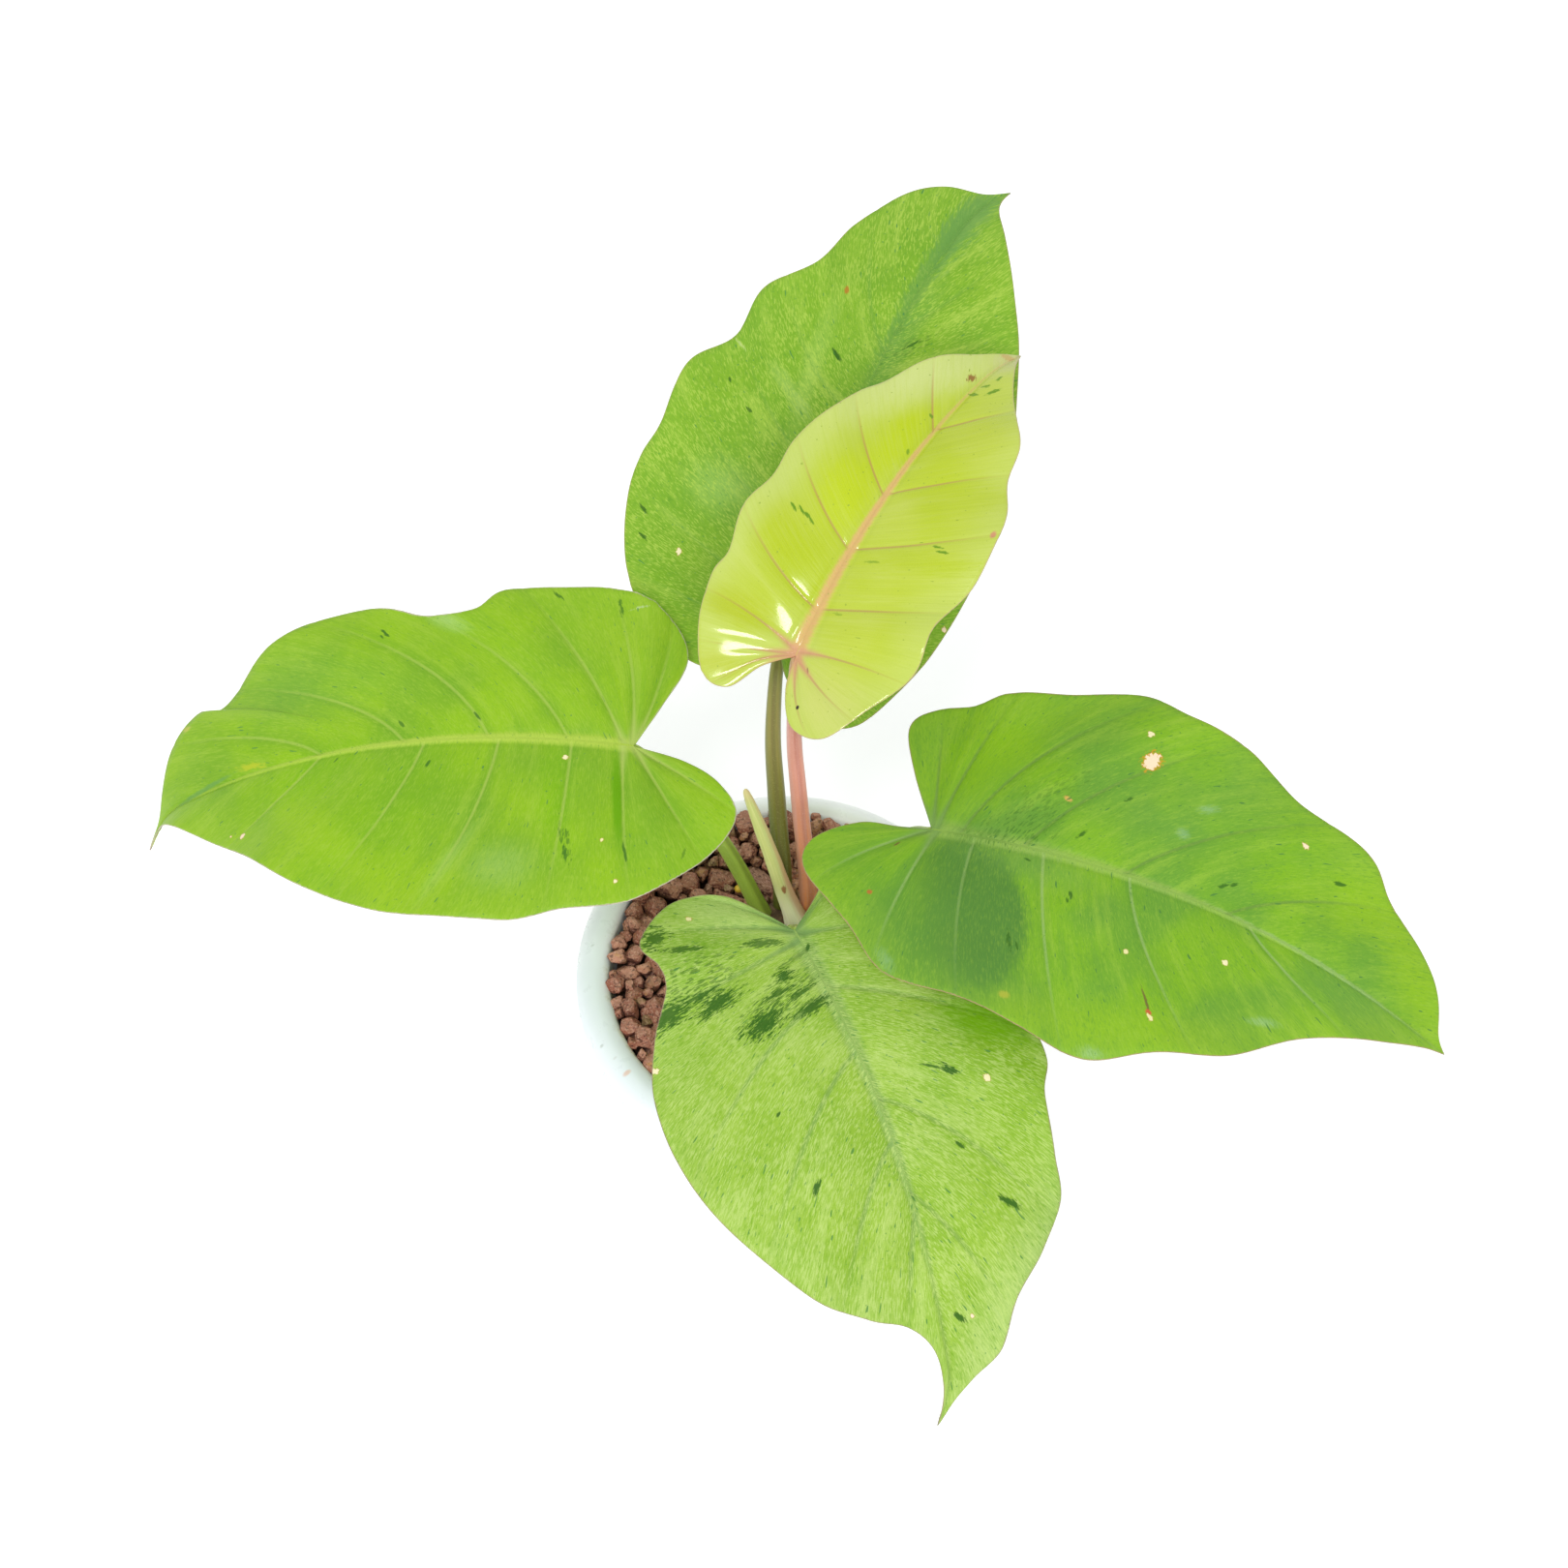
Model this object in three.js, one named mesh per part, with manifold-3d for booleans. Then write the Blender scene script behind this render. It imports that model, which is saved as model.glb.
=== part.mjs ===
// Potted jungle fever philodendron: a white plastic pot filled with crushed lava stones,
// a short crown with five petioles and one spear-shaped cataphyll, and five heart-shaped blades.
// Millimetres, +Z up. The origin is the centre of the pot's flat base, and the front is at -Y.
import * as THREE from 'three'
import { mergeVertices } from 'three/addons/utils/BufferGeometryUtils.js'
import Module from 'manifold-3d'

const wasm = await Module()
wasm.setup()

// Driving dimensions
const SEAT_GAP = 0.3
const RIM_RADIUS = 85
const RIM_TOP = 125
const RIM_INNER_RADIUS = 71
const RIM_SKIRT = 21
const WALL = 2.4
const BASE_RADIUS = 52
const FLOOR = 3.5
const POT_SIDES = 48
const DRAIN_COUNT = 5
const DRAIN_RADIUS = 5
const DRAIN_CIRCLE = 30

const SOIL_TOP = 114
const STONE_COUNT = 108
const STONE_SMALL = 4.8
const STONE_LARGE = 7.6
const STONE_SEED = 11

const CROWN_CENTRE = [1.5, 20]
const CROWN_RADIUS = 12.3
const CROWN_BOTTOM = 86
const CROWN_TOP = 129
const STEM_HOLE_RADIUS = 13.6
const SOCKET_LENGTH = 24
const SOCKET_SIDES = 10
const SOCKET_GAP = 0.6

const BLADE_THICKNESS = 0.6
const RIB_BASE = 2.6
const RIB_TIP = 0.3
const MARGIN_STEPS = 28
const ACROSS = [0, 0.04, 0.27, 0.52, 0.77, 1]
const LOBE_SHARE = 0.38
const VEIN_CROWDING = 1.5
const VEIN_BOW = 0.12
const TIP_SHARE = 0.14
const MIDRIB_STEPS = 200
const WAVE_PHASES = { left: 0, right: 1.7 }

// Each blade: seat on the petiole, heading and pitch of the midrib in degrees, and the two
// halves of the flat outline as points from the sinus round the lobe to the tip (x runs along
// the midrib, y to the left of it).
const LEAVES = {
  left: {
    colour: '#86bd1f',
    seat: [-57.4, 35.9, 230], heading: 176.7, length: 214, drip: 14, pitch: [8, -46], pitchPower: 1,
    turn: 1, roll: -9, fold: 8, curl: 0.002, hook: 7, droop: 5, wave: 2.4, waves: 4.5,
    left: [[0, 0], [-20, 4], [-34, 12], [-41, 26], [-29, 46], [-5, 65], [22, 70], [46, 76],
      [86, 72], [124, 57], [153, 38], [177, 24], [197, 11], [213, 2.2], [228, 0]],
    right: [[0, 0], [-9, -17], [-17, -38], [-7, -55], [12, -63], [50, -62], [63, -52], [81, -51],
      [106, -59], [146, -51], [173, -34], [184, -35], [196, -27], [209, -11], [216, -2.2], [228, 0]],
  },
  right: {
    colour: '#5fa02a',
    seat: [55.7, 10, 212], heading: 347.1, length: 214.7, drip: 4, pitch: [4, -34], pitchPower: 1.2,
    turn: -14, roll: 6, fold: 10, curl: 0.002, hook: 1, droop: 1, wave: 2.2, waves: 4.5,
    left: [[0, 0], [-11, 22], [-16, 40], [-6, 49], [7, 52], [18, 59], [36, 64], [62, 73],
      [80, 69], [104, 65], [126, 54], [154, 47], [170, 37], [188, 28], [202, 16], [212, 4], [218.7, 0]],
    right: [[0, 0], [-13, -1], [-28, -2], [-44, -13], [-43, -28], [-22, -48], [-5, -64], [25, -69],
      [52, -75], [80, -78], [104, -67], [132, -55], [158, -33], [190, -14], [208, -4], [218.7, 0]],
  },
  front: {
    colour: '#8fbf4a',
    seat: [3.6, -22.6, 192], heading: 299.5, length: 190.8, drip: 10, pitch: [-8, -50], pitchPower: 1.2,
    turn: -18, roll: 0, fold: 8, curl: 0.002, hook: -7, droop: 2, wave: 2.4, waves: 4,
    left: [[0, 0], [-9, 15], [-20, 28], [-18, 42], [4, 52], [34, 61], [62, 65], [79, 65],
      [90, 59], [110, 56], [126, 54], [140, 43], [154, 29], [173, 20], [183, 9], [191, 3], [201, 0]],
    right: [[0, 0], [-11, -7], [-25, -19], [-30, -38], [-20, -56], [-8, -54], [1, -56], [17, -68],
      [40, -78], [68, -79], [99, -69], [133, -47], [149, -27], [157, -13], [167, -5], [181, -2.5], [201, 0]],
  },
  young: {
    colour: '#c3d94e',
    seat: [4, 47.8, 272], heading: 61.4, length: 151.9, drip: 3, pitch: [28, -8], pitchPower: 1.2,
    turn: -12, roll: 0, fold: 14, curl: 0.002, hook: -2, droop: 1, wave: 1.6, waves: 5,
    left: [[0, 0], [-9, 10], [-21, 18], [-20, 29], [-5, 37], [14, 42], [24, 40], [40, 43],
      [54, 40], [70, 41], [88, 35], [99, 32], [108, 27], [126, 19], [144, 7], [154.9, 0]],
    right: [[0, 0], [-13, -2], [-25, -11], [-24, -25], [-9, -35], [11, -46], [30, -45], [50, -50],
      [70, -49], [82, -46], [95, -38], [109, -34], [120, -25], [132, -15], [146, -5], [154.9, 0]],
  },
  back: {
    colour: '#67a62e',
    seat: [-1.9, 81.6, 236], heading: 72, length: 203.1, drip: 8, pitch: [37, 3], pitchPower: 1.1,
    turn: -16, roll: 0, fold: 1, curl: 0.002, hook: -6, droop: 3, wave: 2.4, waves: 4.5,
    left: [[0, 0], [-12, 9], [-18, 27], [-10, 48], [8, 65], [36, 76], [52, 77], [66, 73],
      [90, 72], [106, 60], [127, 58], [144, 42], [166, 39], [184, 31], [197, 18], [203, 5], [211.1, 0]],
    right: [[0, 0], [-14, -6], [-27, -22], [-25, -37], [-8, -50], [12, -59], [47, -67], [76, -66],
      [108, -60], [142, -47], [166, -33], [186, -18], [200, -5], [211.1, 0]],
  },
}

// Each petiole: points of its axis from the crown to the blade's seat, and its radii
const PETIOLES = {
  left: {
    colour: '#8aa83e', radii: [3.8, 3.2, 2.5],
    axis: [[-5.5, 20.5, 116], [-9.9, 22.4, 130], [-18, 25.8, 155], [-25.3, 28.2, 175], [-42, 33, 207]],
  },
  right: {
    colour: '#7d9a3c', radii: [3.8, 3.2, 2.5],
    axis: [[9.5, 15.5, 116], [13, 17.5, 130], [22, 22, 150], [36, 24, 174], [49, 17.5, 197]],
  },
  front: {
    colour: '#8aa83e', radii: [3.8, 3.2, 2.5],
    axis: [[1, 11.5, 116], [2, 9, 128], [3, 1, 148], [3.4, -9, 168], [3.6, -17, 181]],
  },
  young: {
    colour: '#c07a68', radii: [3.8, 3.3, 2.5],
    axis: [[8.8, 24.5, 116], [10, 25, 130], [6.6, 35, 177], [3.8, 41, 219], [3.6, 45, 255]],
  },
  back: {
    colour: '#7b7c4c', radii: [4, 3.6, 2.4],
    axis: [[-0.5, 26, 116], [-0.8, 28, 140], [-2.6, 39, 170], [-4.6, 56, 205], [-3.6, 71, 225]],
  },
}
const PETIOLE_STEPS = 14
const PETIOLE_SIDES = 10
const GROOVE_DEPTH = 0.22
const GROOVE_WIDTH = 0.5
const PETIOLE_END_BELOW = 0.6
const PETIOLE_END_BACK = 0.8

const CATAPHYLL_AXIS = [[3.2, 18.6, 118], [3.4, 17, 132], [-0.4, 18.6, 152], [-6, 21, 178], [-14.8, 25.3, 214]]
const CATAPHYLL_WIDTH = 8.4
const CATAPHYLL_DEPTH = 5.6
const CATAPHYLL_TIP_SHARE = 0.05
const CATAPHYLL_STEPS = 12
const CATAPHYLL_SIDES = 8

const radians = degrees => degrees * Math.PI / 180
const clamp01 = value => Math.min(Math.max(value, 0), 1)
const mix = (a, b, share) => a + (b - a) * share
const smooth = (from, to, value) => {
  const share = clamp01((value - from) / (to - from))
  return share * share * (3 - 2 * share)
}

// Small seeded random generator
function seeded(seed) {
  let state = seed
  return () => {
    state = (Math.imul(state, 1664525) + 1013904223) >>> 0
    return state / 4294967296
  }
}

function solidFrom(geometry) {
  const bare = geometry.clone()
  bare.deleteAttribute('normal')
  bare.deleteAttribute('uv')
  const welded = mergeVertices(bare, 1e-4)
  return new wasm.Manifold(new wasm.Mesh({
    numProp: 3,
    vertProperties: new Float32Array(welded.attributes.position.array),
    triVerts: new Uint32Array(welded.index.array),
  }))
}

function geometryFrom(solid) {
  const mesh = solid.getMesh()
  const geometry = new THREE.BufferGeometry()
  geometry.setAttribute('position', new THREE.BufferAttribute(new Float32Array(mesh.vertProperties), 3))
  geometry.setIndex(new THREE.BufferAttribute(new Uint32Array(mesh.triVerts), 1))
  geometry.computeVertexNormals()
  return geometry
}

function indexedGeometry(points, triangles) {
  const geometry = new THREE.BufferGeometry()
  geometry.setAttribute('position', new THREE.Float32BufferAttribute(points.flatMap(p => [p.x, p.y, p.z]), 3))
  geometry.setIndex(triangles.flat())
  geometry.computeVertexNormals()
  return geometry
}

// Closed solid through rings of equal count, capped at both ends
function loft(rings) {
  const sides = rings[0].length
  const points = rings.flat()
  const triangles = []
  for (let step = 0; step + 1 < rings.length; step++) {
    for (let side = 0; side < sides; side++) {
      const next = (side + 1) % sides
      const a = step * sides + side
      const b = step * sides + next
      triangles.push([a, b, b + sides], [a, b + sides, a + sides])
    }
  }
  const middle = ring => ring.reduce((sum, p) => sum.add(p), new THREE.Vector3()).divideScalar(sides)
  const last = (rings.length - 1) * sides
  const bottom = points.push(middle(rings[0])) - 1
  const top = points.push(middle(rings[rings.length - 1])) - 1
  for (let side = 0; side < sides; side++) {
    const next = (side + 1) % sides
    triangles.push([bottom, next, side], [top, last + side, last + next])
  }
  return indexedGeometry(points, triangles)
}

// Rings along a curve. section(share, angle) gives the radius towards that angle, where
// angle 0 is the upper side of the leaning stem
function sweep(curve, steps, sides, section) {
  const rings = []
  for (let step = 0; step <= steps; step++) {
    const share = step / steps
    const centre = curve.getPointAt(share)
    const along = curve.getTangentAt(share)
    const upper = new THREE.Vector3(0, 0, 1).addScaledVector(along, -along.z).normalize()
    const across = new THREE.Vector3().crossVectors(along, upper)
    const ring = []
    for (let side = 0; side < sides; side++) {
      const angle = 2 * Math.PI * side / sides
      const [towardsUpper, towardsAcross] = section(share, angle)
      ring.push(centre.clone().addScaledVector(upper, towardsUpper).addScaledVector(across, towardsAcross))
    }
    rings.push(ring)
  }
  return loft(rings)
}

// Midrib of a blade: position, direction, side and normal at each of its steps
function midribFrames(leaf) {
  const steps = MIDRIB_STEPS
  const frames = []
  const place = new THREE.Vector3(...leaf.seat)
  for (let step = 0; step <= steps; step++) {
    const share = step / steps
    const heading = radians(leaf.heading + leaf.turn * share)
    const pitch = radians(mix(leaf.pitch[0], leaf.pitch[1], share ** leaf.pitchPower))
    const along = new THREE.Vector3(
      Math.cos(pitch) * Math.cos(heading), Math.cos(pitch) * Math.sin(heading), Math.sin(pitch))
    if (step > 0) {
      const half = leaf.length / steps / 2
      place.addScaledVector(frames[step - 1].along, half).addScaledVector(along, half)
    }
    const level = new THREE.Vector3(-Math.sin(heading), Math.cos(heading), 0)
    const upward = new THREE.Vector3().crossVectors(along, level)
    const roll = radians(leaf.roll)
    const side = level.clone().multiplyScalar(Math.cos(roll)).addScaledVector(upward, Math.sin(roll))
    const normal = upward.clone().multiplyScalar(Math.cos(roll)).addScaledVector(level, -Math.sin(roll))
    frames.push({ place: place.clone(), along, side, normal })
  }
  return frames
}

// A point of the flat pattern carried onto the bent, folded blade
function bladePoint(leaf, frames, x, y, lift) {
  const steps = frames.length - 1
  const station = clamp01(x / leaf.length) * steps
  const before = frames[Math.floor(station)]
  const after = frames[Math.ceil(station)]
  const share = station - Math.floor(station)
  const blend = key => before[key].clone().lerp(after[key], share)
  const beyond = x - leaf.length * clamp01(x / leaf.length)
  const tipX = leaf.length + leaf.drip
  const tip = clamp01((x / tipX - 1 + TIP_SHARE) / TIP_SHARE) ** 2
  const fold = radians(leaf.fold)
  const width = Math.abs(y)
  const reach = (Math.sin(fold) - Math.sin(fold - leaf.curl * width)) / leaf.curl
  const rise = (Math.cos(fold - leaf.curl * width) - Math.cos(fold)) / leaf.curl
  return blend('place')
    .addScaledVector(blend('along'), beyond)
    .addScaledVector(blend('side'), Math.sign(y) * reach + leaf.hook * tip)
    .addScaledVector(blend('normal'), rise + lift - leaf.droop * tip)
}

// One half of the flat pattern: where the vein that starts at the midrib and ends at
// share w of the margin passes, at share r of its way out
function patternPoint(leaf, margin, w, r) {
  const end = margin.getPointAt(w)
  const tipX = leaf.length + leaf.drip
  const startX = tipX * clamp01((w - LOBE_SHARE) / (1 - LOBE_SHARE)) ** VEIN_CROWDING
  const chord = Math.hypot(end.x - startX, end.y)
  const bow = VEIN_BOW * chord * smooth(0.1, 0.45, w)
  const middleX = (startX + end.x) / 2 - bow
  const x = (1 - r) ** 2 * startX + 2 * r * (1 - r) * middleX + r * r * end.x
  return [x, r * end.y]
}

function bladeGeometry(leaf) {
  const frames = midribFrames(leaf)
  const tipX = leaf.length + leaf.drip
  const points = []
  const ribs = []
  const found = new Map()
  const vertex = (sideName, margin, i, j) => {
    const w = i / MARGIN_STEPS
    const onMidrib = ACROSS[j] === 0
    let key = `${sideName} ${i} ${j}`
    if (onMidrib) key = `midrib ${i}`
    if (i === 0 || (onMidrib && w <= LOBE_SHARE)) key = 'seat'
    if (i === MARGIN_STEPS) key = 'tip'
    if (!found.has(key)) {
      const [x, y] = patternPoint(leaf, margin, w, ACROSS[j])
      const swing = Math.sin(2 * Math.PI * leaf.waves * w + WAVE_PHASES[sideName])
      const lift = leaf.wave * ACROSS[j] ** 2 * swing * smooth(0, 0.1, w) * (1 - smooth(0.85, 1, w))
      found.set(key, points.push(bladePoint(leaf, frames, x, y, lift)) - 1)
      ribs.push(onMidrib || key === 'seat' || key === 'tip' ? mix(RIB_BASE, RIB_TIP, clamp01(x / tipX)) : 0)
    }
    return found.get(key)
  }
  const triangles = []
  for (const sideName of ['left', 'right']) {
    const margin = new THREE.SplineCurve(leaf[sideName].map(([x, y]) => new THREE.Vector2(x, y)))
    for (let i = 0; i < MARGIN_STEPS; i++) {
      for (let j = 0; j + 1 < ACROSS.length; j++) {
        const a = vertex(sideName, margin, i, j)
        const b = vertex(sideName, margin, i + 1, j)
        const c = vertex(sideName, margin, i + 1, j + 1)
        const d = vertex(sideName, margin, i, j + 1)
        for (const corners of [[a, b, c], [a, c, d]]) {
          if (new Set(corners).size === 3) {
            triangles.push(sideName === 'left' ? corners : [corners[0], corners[2], corners[1]])
          }
        }
      }
    }
  }
  return thickened(points, triangles, ribs)
}

// Gives an open surface its thickness downwards, split alike on both faces
function thickened(points, triangles, ribs) {
  const surface = indexedGeometry(points, triangles)
  const normals = surface.attributes.normal
  const count = points.length
  const under = points.map((point, index) => {
    const normal = new THREE.Vector3().fromBufferAttribute(normals, index)
    return point.clone().addScaledVector(normal, -(BLADE_THICKNESS + ribs[index]))
  })
  const directed = new Set(triangles.flatMap(([a, b, c]) => [`${a} ${b}`, `${b} ${c}`, `${c} ${a}`]))
  const all = [...triangles]
  for (const [a, b, c] of triangles) {
    all.push([a + count, c + count, b + count])
    for (const [from, to] of [[a, b], [b, c], [c, a]]) {
      if (!directed.has(`${to} ${from}`)) {
        all.push([to, from, from + count], [to, from + count, to + count])
      }
    }
  }
  return indexedGeometry([...points, ...under], all)
}

// The petiole ends just under the blade, at the root of the midrib
function petioleCurve(name) {
  const leaf = LEAVES[name]
  const { place, along, normal } = midribFrames(leaf)[0]
  const end = place.clone()
    .addScaledVector(normal, -(BLADE_THICKNESS + RIB_BASE + PETIOLE_END_BELOW))
    .addScaledVector(along, -PETIOLE_END_BACK)
  const points = PETIOLES[name].axis.map(point => new THREE.Vector3(...point))
  return new THREE.CatmullRomCurve3([...points, end])
}

function petioleGeometry(name) {
  const [base, middle, top] = PETIOLES[name].radii
  const section = (share, angle) => {
    const taper = share < 0.5 ? mix(base, middle, share * 2) : mix(middle, top, share * 2 - 1)
    const turned = Math.min(angle, 2 * Math.PI - angle)
    const groove = 1 - GROOVE_DEPTH * Math.exp(-((turned / GROOVE_WIDTH) ** 2))
    const radius = taper * groove
    return [Math.cos(angle) * radius, Math.sin(angle) * radius]
  }
  return sweep(petioleCurve(name), PETIOLE_STEPS, PETIOLE_SIDES, section)
}

function cataphyllGeometry() {
  const curve = new THREE.CatmullRomCurve3(CATAPHYLL_AXIS.map(point => new THREE.Vector3(...point)))
  const section = (share, angle) => {
    const taper = mix(1, CATAPHYLL_TIP_SHARE, share ** 1.8)
    const belly = 0.8 + 0.2 * Math.sin(Math.PI * clamp01(share * 2))
    return [
      Math.cos(angle) * CATAPHYLL_DEPTH / 2 * taper * belly,
      Math.sin(angle) * CATAPHYLL_WIDTH / 2 * taper * belly,
    ]
  }
  return sweep(curve, CATAPHYLL_STEPS, CATAPHYLL_SIDES, section)
}

// Short stem: a rounded stub with a socket for each petiole and for the cataphyll
function crownGeometry() {
  const height = CROWN_TOP - CROWN_BOTTOM
  const outline = [[0, 0.55], [0.12, 0.72], [0.5, 0.86], [0.78, 1], [0.93, 0.9], [1, 0.62]]
  const profile = outline.map(([level, share]) => new THREE.Vector2(CROWN_RADIUS * share, height * level))
  profile.unshift(new THREE.Vector2(0, 0))
  profile.push(new THREE.Vector2(0, height))
  const stub = new THREE.LatheGeometry(profile, 14)
  stub.rotateX(Math.PI / 2)
  stub.translate(CROWN_CENTRE[0], CROWN_CENTRE[1], CROWN_BOTTOM)
  let crown = solidFrom(stub)
  for (const name of Object.keys(PETIOLES)) {
    crown = crown.subtract(socketTube(petioleCurve(name), PETIOLES[name].radii[0] + SOCKET_GAP))
  }
  const spear = new THREE.CatmullRomCurve3(CATAPHYLL_AXIS.map(point => new THREE.Vector3(...point)))
  crown = crown.subtract(socketTube(spear, CATAPHYLL_WIDTH / 2 + SOCKET_GAP))
  return geometryFrom(largest(crown))
}

// A plain tube round the foot of a stem, with its end one seat gap below the stem's end
function socketTube(curve, radius) {
  const steps = 3
  const reach = SOCKET_LENGTH / curve.getLength()
  const rings = []
  for (let step = -1; step <= steps; step++) {
    const at = clamp01(step / steps) * reach
    const along = curve.getTangentAt(at)
    const centre = curve.getPointAt(at)
    if (step < 0) centre.addScaledVector(along, -SEAT_GAP)
    const upper = new THREE.Vector3(0, 1, 0).addScaledVector(along, -along.y).normalize()
    const across = new THREE.Vector3().crossVectors(along, upper)
    const ring = []
    for (let side = 0; side < SOCKET_SIDES; side++) {
      const angle = 2 * Math.PI * side / SOCKET_SIDES
      ring.push(centre.clone()
        .addScaledVector(upper, Math.cos(angle) * radius)
        .addScaledVector(across, Math.sin(angle) * radius))
    }
    rings.push(ring)
  }
  return solidFrom(loft(rings))
}

function largest(solid) {
  return solid.decompose().sort((one, other) => other.volume() - one.volume())[0]
}

// Inner wall of the pot at a height
function innerRadius(z) {
  const bottom = BASE_RADIUS - WALL
  return mix(bottom, RIM_INNER_RADIUS, clamp01((z - FLOOR) / (RIM_TOP - 5 - FLOOR)))
}

// Turned pot with a wide convex rim, hollow below like an upturned channel
function potGeometry() {
  const skirtFoot = RIM_TOP - RIM_SKIRT
  const channelTop = RIM_TOP - 7.5
  const profile = [
    [0, 0],
    [BASE_RADIUS - 1, 0],
    [BASE_RADIUS, 1],
    [innerRadius(skirtFoot) + WALL, skirtFoot],
    [innerRadius(channelTop) + WALL, channelTop],
    [RIM_RADIUS - WALL, channelTop - 2],
    [RIM_RADIUS - WALL - 0.4, skirtFoot],
    [RIM_RADIUS - 0.5, skirtFoot],
    [RIM_RADIUS, RIM_TOP - 9],
    [RIM_RADIUS - 1, RIM_TOP - 5],
    [RIM_RADIUS - 3.6, RIM_TOP - 1.8],
    [RIM_RADIUS - 7.5, RIM_TOP],
    [RIM_INNER_RADIUS + 3, RIM_TOP - 0.8],
    [RIM_INNER_RADIUS + 0.6, RIM_TOP - 3],
    [RIM_INNER_RADIUS, RIM_TOP - 5],
    [BASE_RADIUS - WALL, FLOOR],
    [0, FLOOR],
  ]
  const turned = new THREE.LatheGeometry(profile.map(([r, z]) => new THREE.Vector2(r, z)), POT_SIDES)
  turned.rotateX(Math.PI / 2)
  let pot = solidFrom(turned)
  for (let hole = 0; hole < DRAIN_COUNT; hole++) {
    const angle = 2 * Math.PI * (hole + 0.5) / DRAIN_COUNT
    const drill = new THREE.CylinderGeometry(DRAIN_RADIUS, DRAIN_RADIUS, 4 * FLOOR, 12)
    drill.rotateX(Math.PI / 2)
    drill.translate(DRAIN_CIRCLE * Math.cos(angle), DRAIN_CIRCLE * Math.sin(angle), 0)
    pot = pot.subtract(solidFrom(drill))
  }
  return geometryFrom(pot)
}

// One crushed stone: a jittered, unevenly scaled icosahedron
function stoneSolid(random, x, y, z, size) {
  const stone = mergeVertices(bareIcosahedron(size), 1e-4)
  const position = stone.attributes.position
  for (let index = 0; index < position.count; index++) {
    const push = 0.78 + 0.4 * random()
    position.setXYZ(index, position.getX(index) * push, position.getY(index) * push, position.getZ(index) * push)
  }
  stone.rotateX(random() * 6)
  stone.rotateZ(random() * 6)
  stone.scale(1, 1, 0.82)
  stone.translate(x, y, z)
  return solidFrom(stone)
}

function bareIcosahedron(size) {
  const geometry = new THREE.IcosahedronGeometry(size, 0)
  geometry.deleteAttribute('normal')
  geometry.deleteAttribute('uv')
  return geometry
}

// Lava gravel: the filling of the pot, with crushed stones standing out of its top in a
// sunflower spiral, and a plain hole for the crown
function gravelGeometry() {
  const random = seeded(STONE_SEED)
  const bottom = FLOOR + SEAT_GAP
  const profile = [
    [0, bottom],
    [innerRadius(bottom) - SEAT_GAP, bottom],
    [innerRadius(SOIL_TOP) - SEAT_GAP, SOIL_TOP],
    [0, SOIL_TOP],
  ]
  const plug = new THREE.LatheGeometry(profile.map(([r, z]) => new THREE.Vector2(r, z)), POT_SIDES)
  plug.rotateX(Math.PI / 2)
  const pieces = [solidFrom(plug)]
  const golden = Math.PI * (3 - Math.sqrt(5))
  for (let index = 0; index < STONE_COUNT; index++) {
    const size = mix(STONE_SMALL, STONE_LARGE, random() ** 1.4)
    const reach = (RIM_INNER_RADIUS - 1.2 - size * 1.05) * Math.sqrt((index + 0.7) / STONE_COUNT)
    const angle = index * golden + 0.25 * (random() - 0.5)
    const x = reach * Math.cos(angle)
    const y = reach * Math.sin(angle)
    const z = SOIL_TOP + 1 + 2.6 * random()
    const fromCrown = Math.hypot(x - CROWN_CENTRE[0], y - CROWN_CENTRE[1])
    if (fromCrown > STEM_HOLE_RADIUS - size * 0.4) pieces.push(stoneSolid(random, x, y, z, size))
  }
  const heap = wasm.Manifold.union(pieces)
  const hole = new THREE.CylinderGeometry(STEM_HOLE_RADIUS, STEM_HOLE_RADIUS, 80, 18)
  hole.rotateX(Math.PI / 2)
  hole.translate(CROWN_CENTRE[0], CROWN_CENTRE[1], CROWN_BOTTOM - SEAT_GAP + 40)
  return geometryFrom(largest(heap.subtract(solidFrom(hole))))
}

const group = new THREE.Group()

function add(name, geometry, colour, roughness) {
  const material = new THREE.MeshStandardMaterial({ color: colour, roughness, metalness: 0 })
  const mesh = new THREE.Mesh(geometry, material)
  mesh.name = name
  group.add(mesh)
}

add('pot', potGeometry(), '#e9f0ee', 0.35)
add('lava_gravel', gravelGeometry(), '#6e3f32', 0.95)
add('crown_stem', crownGeometry(), '#9aa260', 0.7)
add('cataphyll', cataphyllGeometry(), '#c9c88a', 0.5)
for (const name of Object.keys(LEAVES)) {
  add(`petiole_${name}`, petioleGeometry(name), PETIOLES[name].colour, 0.45)
  add(`blade_${name}`, bladeGeometry(LEAVES[name]), LEAVES[name].colour, 0.45)
}

export default group
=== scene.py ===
import math

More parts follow.
